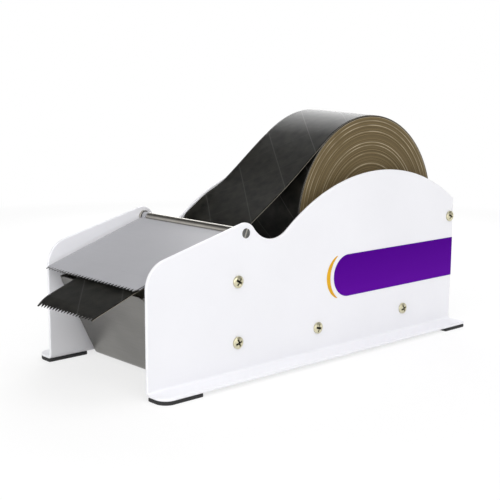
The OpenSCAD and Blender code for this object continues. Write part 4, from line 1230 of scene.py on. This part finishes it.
def tape_path():
    """Points on the tape's middle, their upper directions and where the web starts, the web ends and the tail
    starts: an arc on the roll, a straight web, a short arc under the rod, a straight that rises to the press
    strip, a bend, a straight and a last arc that droops."""
    wrap_angle = np.linspace(web_angle - WRAP_TURN, web_angle, 240)
    tuck = 1 - smooth_step((wrap_angle - wrap_angle[0]) / TUCK_TURN)
    wrap = roll_axis + (wrap_radius - TAPE_GAP * tuck)[:, None] * facing(wrap_angle)
    front_drop = COVER_SHEET / 2 + STRIP_SHEET + TAPE_GAP + TAPE_THICK / 2
    run_slope = COVER_SLOPE - np.arcsin(dip_radius / np.hypot(cover_front, front_drop))
    run_slope += np.arctan2(front_drop, -cover_front)
    dip_angle = np.linspace(web_angle, run_slope, 14)
    dip = guide - dip_radius * facing(dip_angle)
    web = straight(wrap[-1], dip[0], 92)[:-1]
    run_end = dip[-1] + (FRONT[0] - dip[-1][0]) * np.array([1, np.tan(run_slope)])
    run = straight(dip[-1], run_end, 36)
    bend, bend_angle = drooping(run_end, run_slope, TAIL_SLOPE - run_slope, TAIL_BEND, 8)
    out_end = bend[-1] - TAIL_STRAIGHT * np.array([np.cos(TAIL_SLOPE), np.sin(TAIL_SLOPE)])
    out = straight(bend[-1], out_end, 14)
    tail, tail_angle = drooping(out[-1], TAIL_SLOPE, TAIL_DROOP, TAIL_LENGTH, 24)
    stretches = [(wrap, wrap_angle), (web, web_angle), (dip, dip_angle), (run, run_slope),
                 (bend[1:], bend_angle[1:]), (out, TAIL_SLOPE), (tail[1:], tail_angle[1:])]
    line = np.concatenate([points for points, _ in stretches])
    angles = np.concatenate([np.broadcast_to(angle, len(points)) for points, angle in stretches])
    ends = np.cumsum([len(points) for points, _ in stretches])
    return line, facing(angles), ends[[0, 1, 5]]


path, path_up, path_marks = tape_path()
path_along = np.concatenate([[0], np.cumsum(np.linalg.norm(np.diff(path, axis=0), axis=1))])
print("the tape on show is", round(path_along[-1], 1), "mm long")

# %% How the tape departs from its path
FAR_LIFT, WEB_SAG, FAR_CURL, FAR_FLARE = 2.8, 1.4, 0.5, 2.5
TAIL_RISE, TAIL_FALL, TWIST_POWER = 0.7, 1.7, 1.5
LIFT_START, LIFT_RISE, LIFT_END, LIFT_FALL = -40, 80, 128, 45
CURL_WIDTH, FLARE_WIDTH = 4.0, 6.0
FLARE_START, FLARE_RISE, FLARE_FALL = 0.5, 0.25, 0.1


def tape_columns():
    """Places across the tape: every half pitch of the torn edge, and the tape's own two edges."""
    middle = (roll_x0 + roll_x1) / 2
    teeth = int((roll_x1 - roll_x0) // TOOTH_PITCH)
    half = teeth * TOOTH_PITCH / 2
    inner = np.linspace(-half, half, 2 * teeth + 1)
    notch = np.concatenate([[0], np.arange(2 * teeth + 1) % 2, [0]])
    return np.concatenate([[roll_x0], middle + inner, [roll_x1]]), notch


def tape_offset(s, x):
    """Push along the normal. On the roll: lift times a smooth hump in the angle, falling to nothing at the
    near edge. Between roll and rod: a squared sine of sag, and along the far edge a slight curl and a flare
    just above the rod, which both fall off exponentially across the tape. On the last bend: a twist that
    lifts the near edge and drops the far one."""
    across_share = (roll_x1 - x) / (roll_x1 - roll_x0)
    web_start, web_end, tail_start = path_along[path_marks - 1]
    roll_angle = np.degrees(web_angle) + 90 - np.degrees((web_start - s) / wrap_radius)
    rise, fall = (roll_angle - LIFT_START) / LIFT_RISE, (LIFT_END - roll_angle) / LIFT_FALL
    hump = smooth_step(fall) * smooth_step(rise) * (s < web_start)
    between = np.clip((s - web_start) / (web_end - web_start), 0, 1)
    sag = np.sin(np.pi * between) ** 2
    curl = np.exp((roll_x0 - x) / CURL_WIDTH) * np.sin(np.pi * between) ** 0.5
    rise, fall = (between - FLARE_START) / FLARE_RISE, (1 - between) / FLARE_FALL
    flare = np.exp((roll_x0 - x) / FLARE_WIDTH) * smooth_step(rise) * smooth_step(fall)
    late = np.clip((s - tail_start) / (path_along[-1] - tail_start), 0, 1)
    twist = late**TWIST_POWER * (TAIL_RISE * (1 - across_share) - TAIL_FALL * across_share)
    return FAR_LIFT * hump * across_share - WEB_SAG * sag + FAR_CURL * curl + FAR_FLARE * flare + twist


print("places across the tape:", len(tape_columns()[0]))

# %% The tape's surface
TORN_REACH = 6.0


def tape_surface():
    """Both sides of the tape as loops round its cross-section, row by row along the path. Near the torn end
    the rows are drawn back by the notches of the zigzag. Also gives each vertex's flat place."""
    x, notch = tape_columns()
    drawn = smooth_step((path_along - path_along[-1]) / TORN_REACH + 1)[:, None]
    s = path_along[:, None] - TOOTH_DEPTH * notch * drawn
    middle = np.stack([np.interp(s, path_along, path[:, k]) for k in (0, 1)], axis=-1)
    up = unit(np.stack([np.interp(s, path_along, path_up[:, k]) for k in (0, 1)], axis=-1))
    middle = middle + tape_offset(s, x)[..., None] * up
    across_x = np.broadcast_to(x, s.shape)[..., None]
    sides = [np.concatenate([across_x, middle + way * TAPE_THICK / 2 * up], axis=-1) for way in (1, -1)]
    loops = np.concatenate([sides[0], sides[1][:, ::-1]], axis=1)
    rows, columns = loops.shape[:2]
    here = np.arange(columns // 2 - 1)
    cap = np.stack([here, here + 1, columns - 2 - here, columns - 1 - here], axis=-1)
    faces = [grid_quads(rows, columns, close_columns=True), cap, cap + (rows - 1) * columns]
    flat = np.stack([np.broadcast_to(x - roll_x0, s.shape), s], axis=-1) / 100
    return loops.reshape(-1, 3), faces, np.concatenate([flat, flat[:, ::-1]], axis=1).reshape(-1, 2)


tape_points, tape_faces, tape_flat = tape_surface()
tape = piece("dark_tape", (tape_points, tape_faces), "tape", "frame", "tape_web")
columns = 2 * len(tape_columns()[0])
second_finish(tape, "gummed_side", np.arange(len(tape_faces[0])) % columns >= columns // 2 - 1)
flatten(tape, tape_flat)

# %% [markdown]
# ## Studio
# The picture has a white ground and very soft light. The floor is a plain pale plane. Near the object about a
# quarter of what the eye sees of it is lit like everything else, so it keeps a soft shadow, and further out
# it fades to the white of the background. In reflections the background is white near the horizon and dark
# overhead, which gives metal and paper their sheen. Large area lamps stand for soft boxes.

# %% Background
def white_to_eye(tree):
    """1 for rays that come from the camera, a reflection or a glass, and 0 for light on the object."""
    path = tree.nodes.new("ShaderNodeLightPath").outputs
    seen = calc(tree, "ADD", path["Is Camera Ray"], path["Is Glossy Ray"])
    return calc(tree, "MINIMUM", calc(tree, "ADD", seen, path["Is Transmission Ray"]), 1.0)


SKY_LIGHT, CEILING, CEILING_LOW, CEILING_HIGH = 0.38, 0.05, 0.17, 0.50
world = bpy.data.worlds.new("white_studio")
bpy.context.scene.world = world
world.use_nodes = True
background = world.node_tree.nodes["Background"]
background.inputs["Color"].default_value = (1, 1, 1, 1)
tree = world.node_tree
split = tree.nodes.new("ShaderNodeSeparateXYZ")
tree.links.new(tree.nodes.new("ShaderNodeTexCoord").outputs["Generated"], split.inputs[0])
overhead = clipped(tree, split.outputs["Z"], CEILING_LOW, CEILING_HIGH)
shown = calc(tree, "MULTIPLY_ADD", overhead, CEILING - 1, 1.0)
over_light = calc(tree, "SUBTRACT", shown, SKY_LIGHT)
strength = calc(tree, "MULTIPLY_ADD", white_to_eye(tree), over_light, SKY_LIGHT)
tree.links.new(strength, background.inputs["Strength"])
print("background:", world.name)

# %% Floor
FLOOR_HALF, FADE_START, FADE_END, NEAR_GLOW = 3.0, 0.35, 0.9, 0.72
floor_mesh = bpy.data.meshes.new("studio_floor")
floor_corners = np.array([(-1, -1, 0), (1, -1, 0), (1, 1, 0), (-1, 1, 0)]) * FLOOR_HALF
floor_mesh.from_pydata(floor_corners.tolist(), [], [(0, 1, 2, 3)])
floor = bpy.data.objects.new("studio_floor", floor_mesh)
bpy.context.scene.collection.objects.link(floor)
studio_paper = bpy.data.materials.new("studio_paper")
studio_paper.use_nodes = True
tree = studio_paper.node_tree
tree.nodes.remove(tree.nodes["Principled BSDF"])
lit = node(tree, "BsdfDiffuse", Color=(0.93, 0.93, 0.93, 1))
glow = node(tree, "Emission", Color=(1, 1, 1, 1), Strength=1.0)
length = tree.nodes.new("ShaderNodeVectorMath")
length.operation = "LENGTH"
tree.links.new(tree.nodes.new("ShaderNodeTexCoord").outputs["Object"], length.inputs[0])
fade = calc(tree, "MAXIMUM", clipped(tree, length.outputs["Value"], FADE_START, FADE_END), NEAR_GLOW)
mixed = tree.nodes.new("ShaderNodeMixShader")
tree.links.new(calc(tree, "MULTIPLY", fade, white_to_eye(tree)), mixed.inputs[0])
tree.links.new(lit.outputs[0], mixed.inputs[1])
tree.links.new(glow.outputs[0], mixed.inputs[2])
tree.links.new(mixed.outputs[0], tree.nodes["Material Output"].inputs["Surface"])
floor_mesh.materials.append(studio_paper)
print("floor:", 2 * FLOOR_HALF, "m square")

# %% Lamps
OBJECT_MIDDLE = np.array([0, 0, 0.07])


def soft_box(name, place, size, watts):
    """A square area lamp that looks at the middle of the object."""
    lamp = bpy.data.lights.new(name, "AREA")
    lamp.size = size
    lamp.energy = watts
    made = bpy.data.objects.new(name, lamp)
    back = unit(place - OBJECT_MIDDLE)
    right = unit(np.cross([0, 0, 1], back))
    matrix = np.eye(4)
    matrix[:3, :3] = np.stack([right, np.cross(back, right), back], axis=-1)
    matrix[:3, 3] = place
    made.matrix_world = Matrix(matrix.tolist())
    made.visible_camera = False
    bpy.context.scene.collection.objects.link(made)
    return made


lamps = [
    soft_box("key_box", np.array([1.3, -0.5, 1.1]), 1.2, 11.6),
    soft_box("top_box", np.array([0.3, 0.5, 1.7]), 1.4, 10),
    soft_box("front_box", np.array([0.45, -1.4, 0.55]), 1.0, 10.5),
    soft_box("roll_box", np.array([-0.49, 0.46, 0.46]), 0.44, 2.2),
]
print("lamps:", [lamp.name for lamp in lamps])

# %% [markdown]
# ## Colour view
# The view transform is Standard, so that a colour is shown as it is written.

# %% View transform
bpy.context.scene.view_settings.view_transform = "Standard"
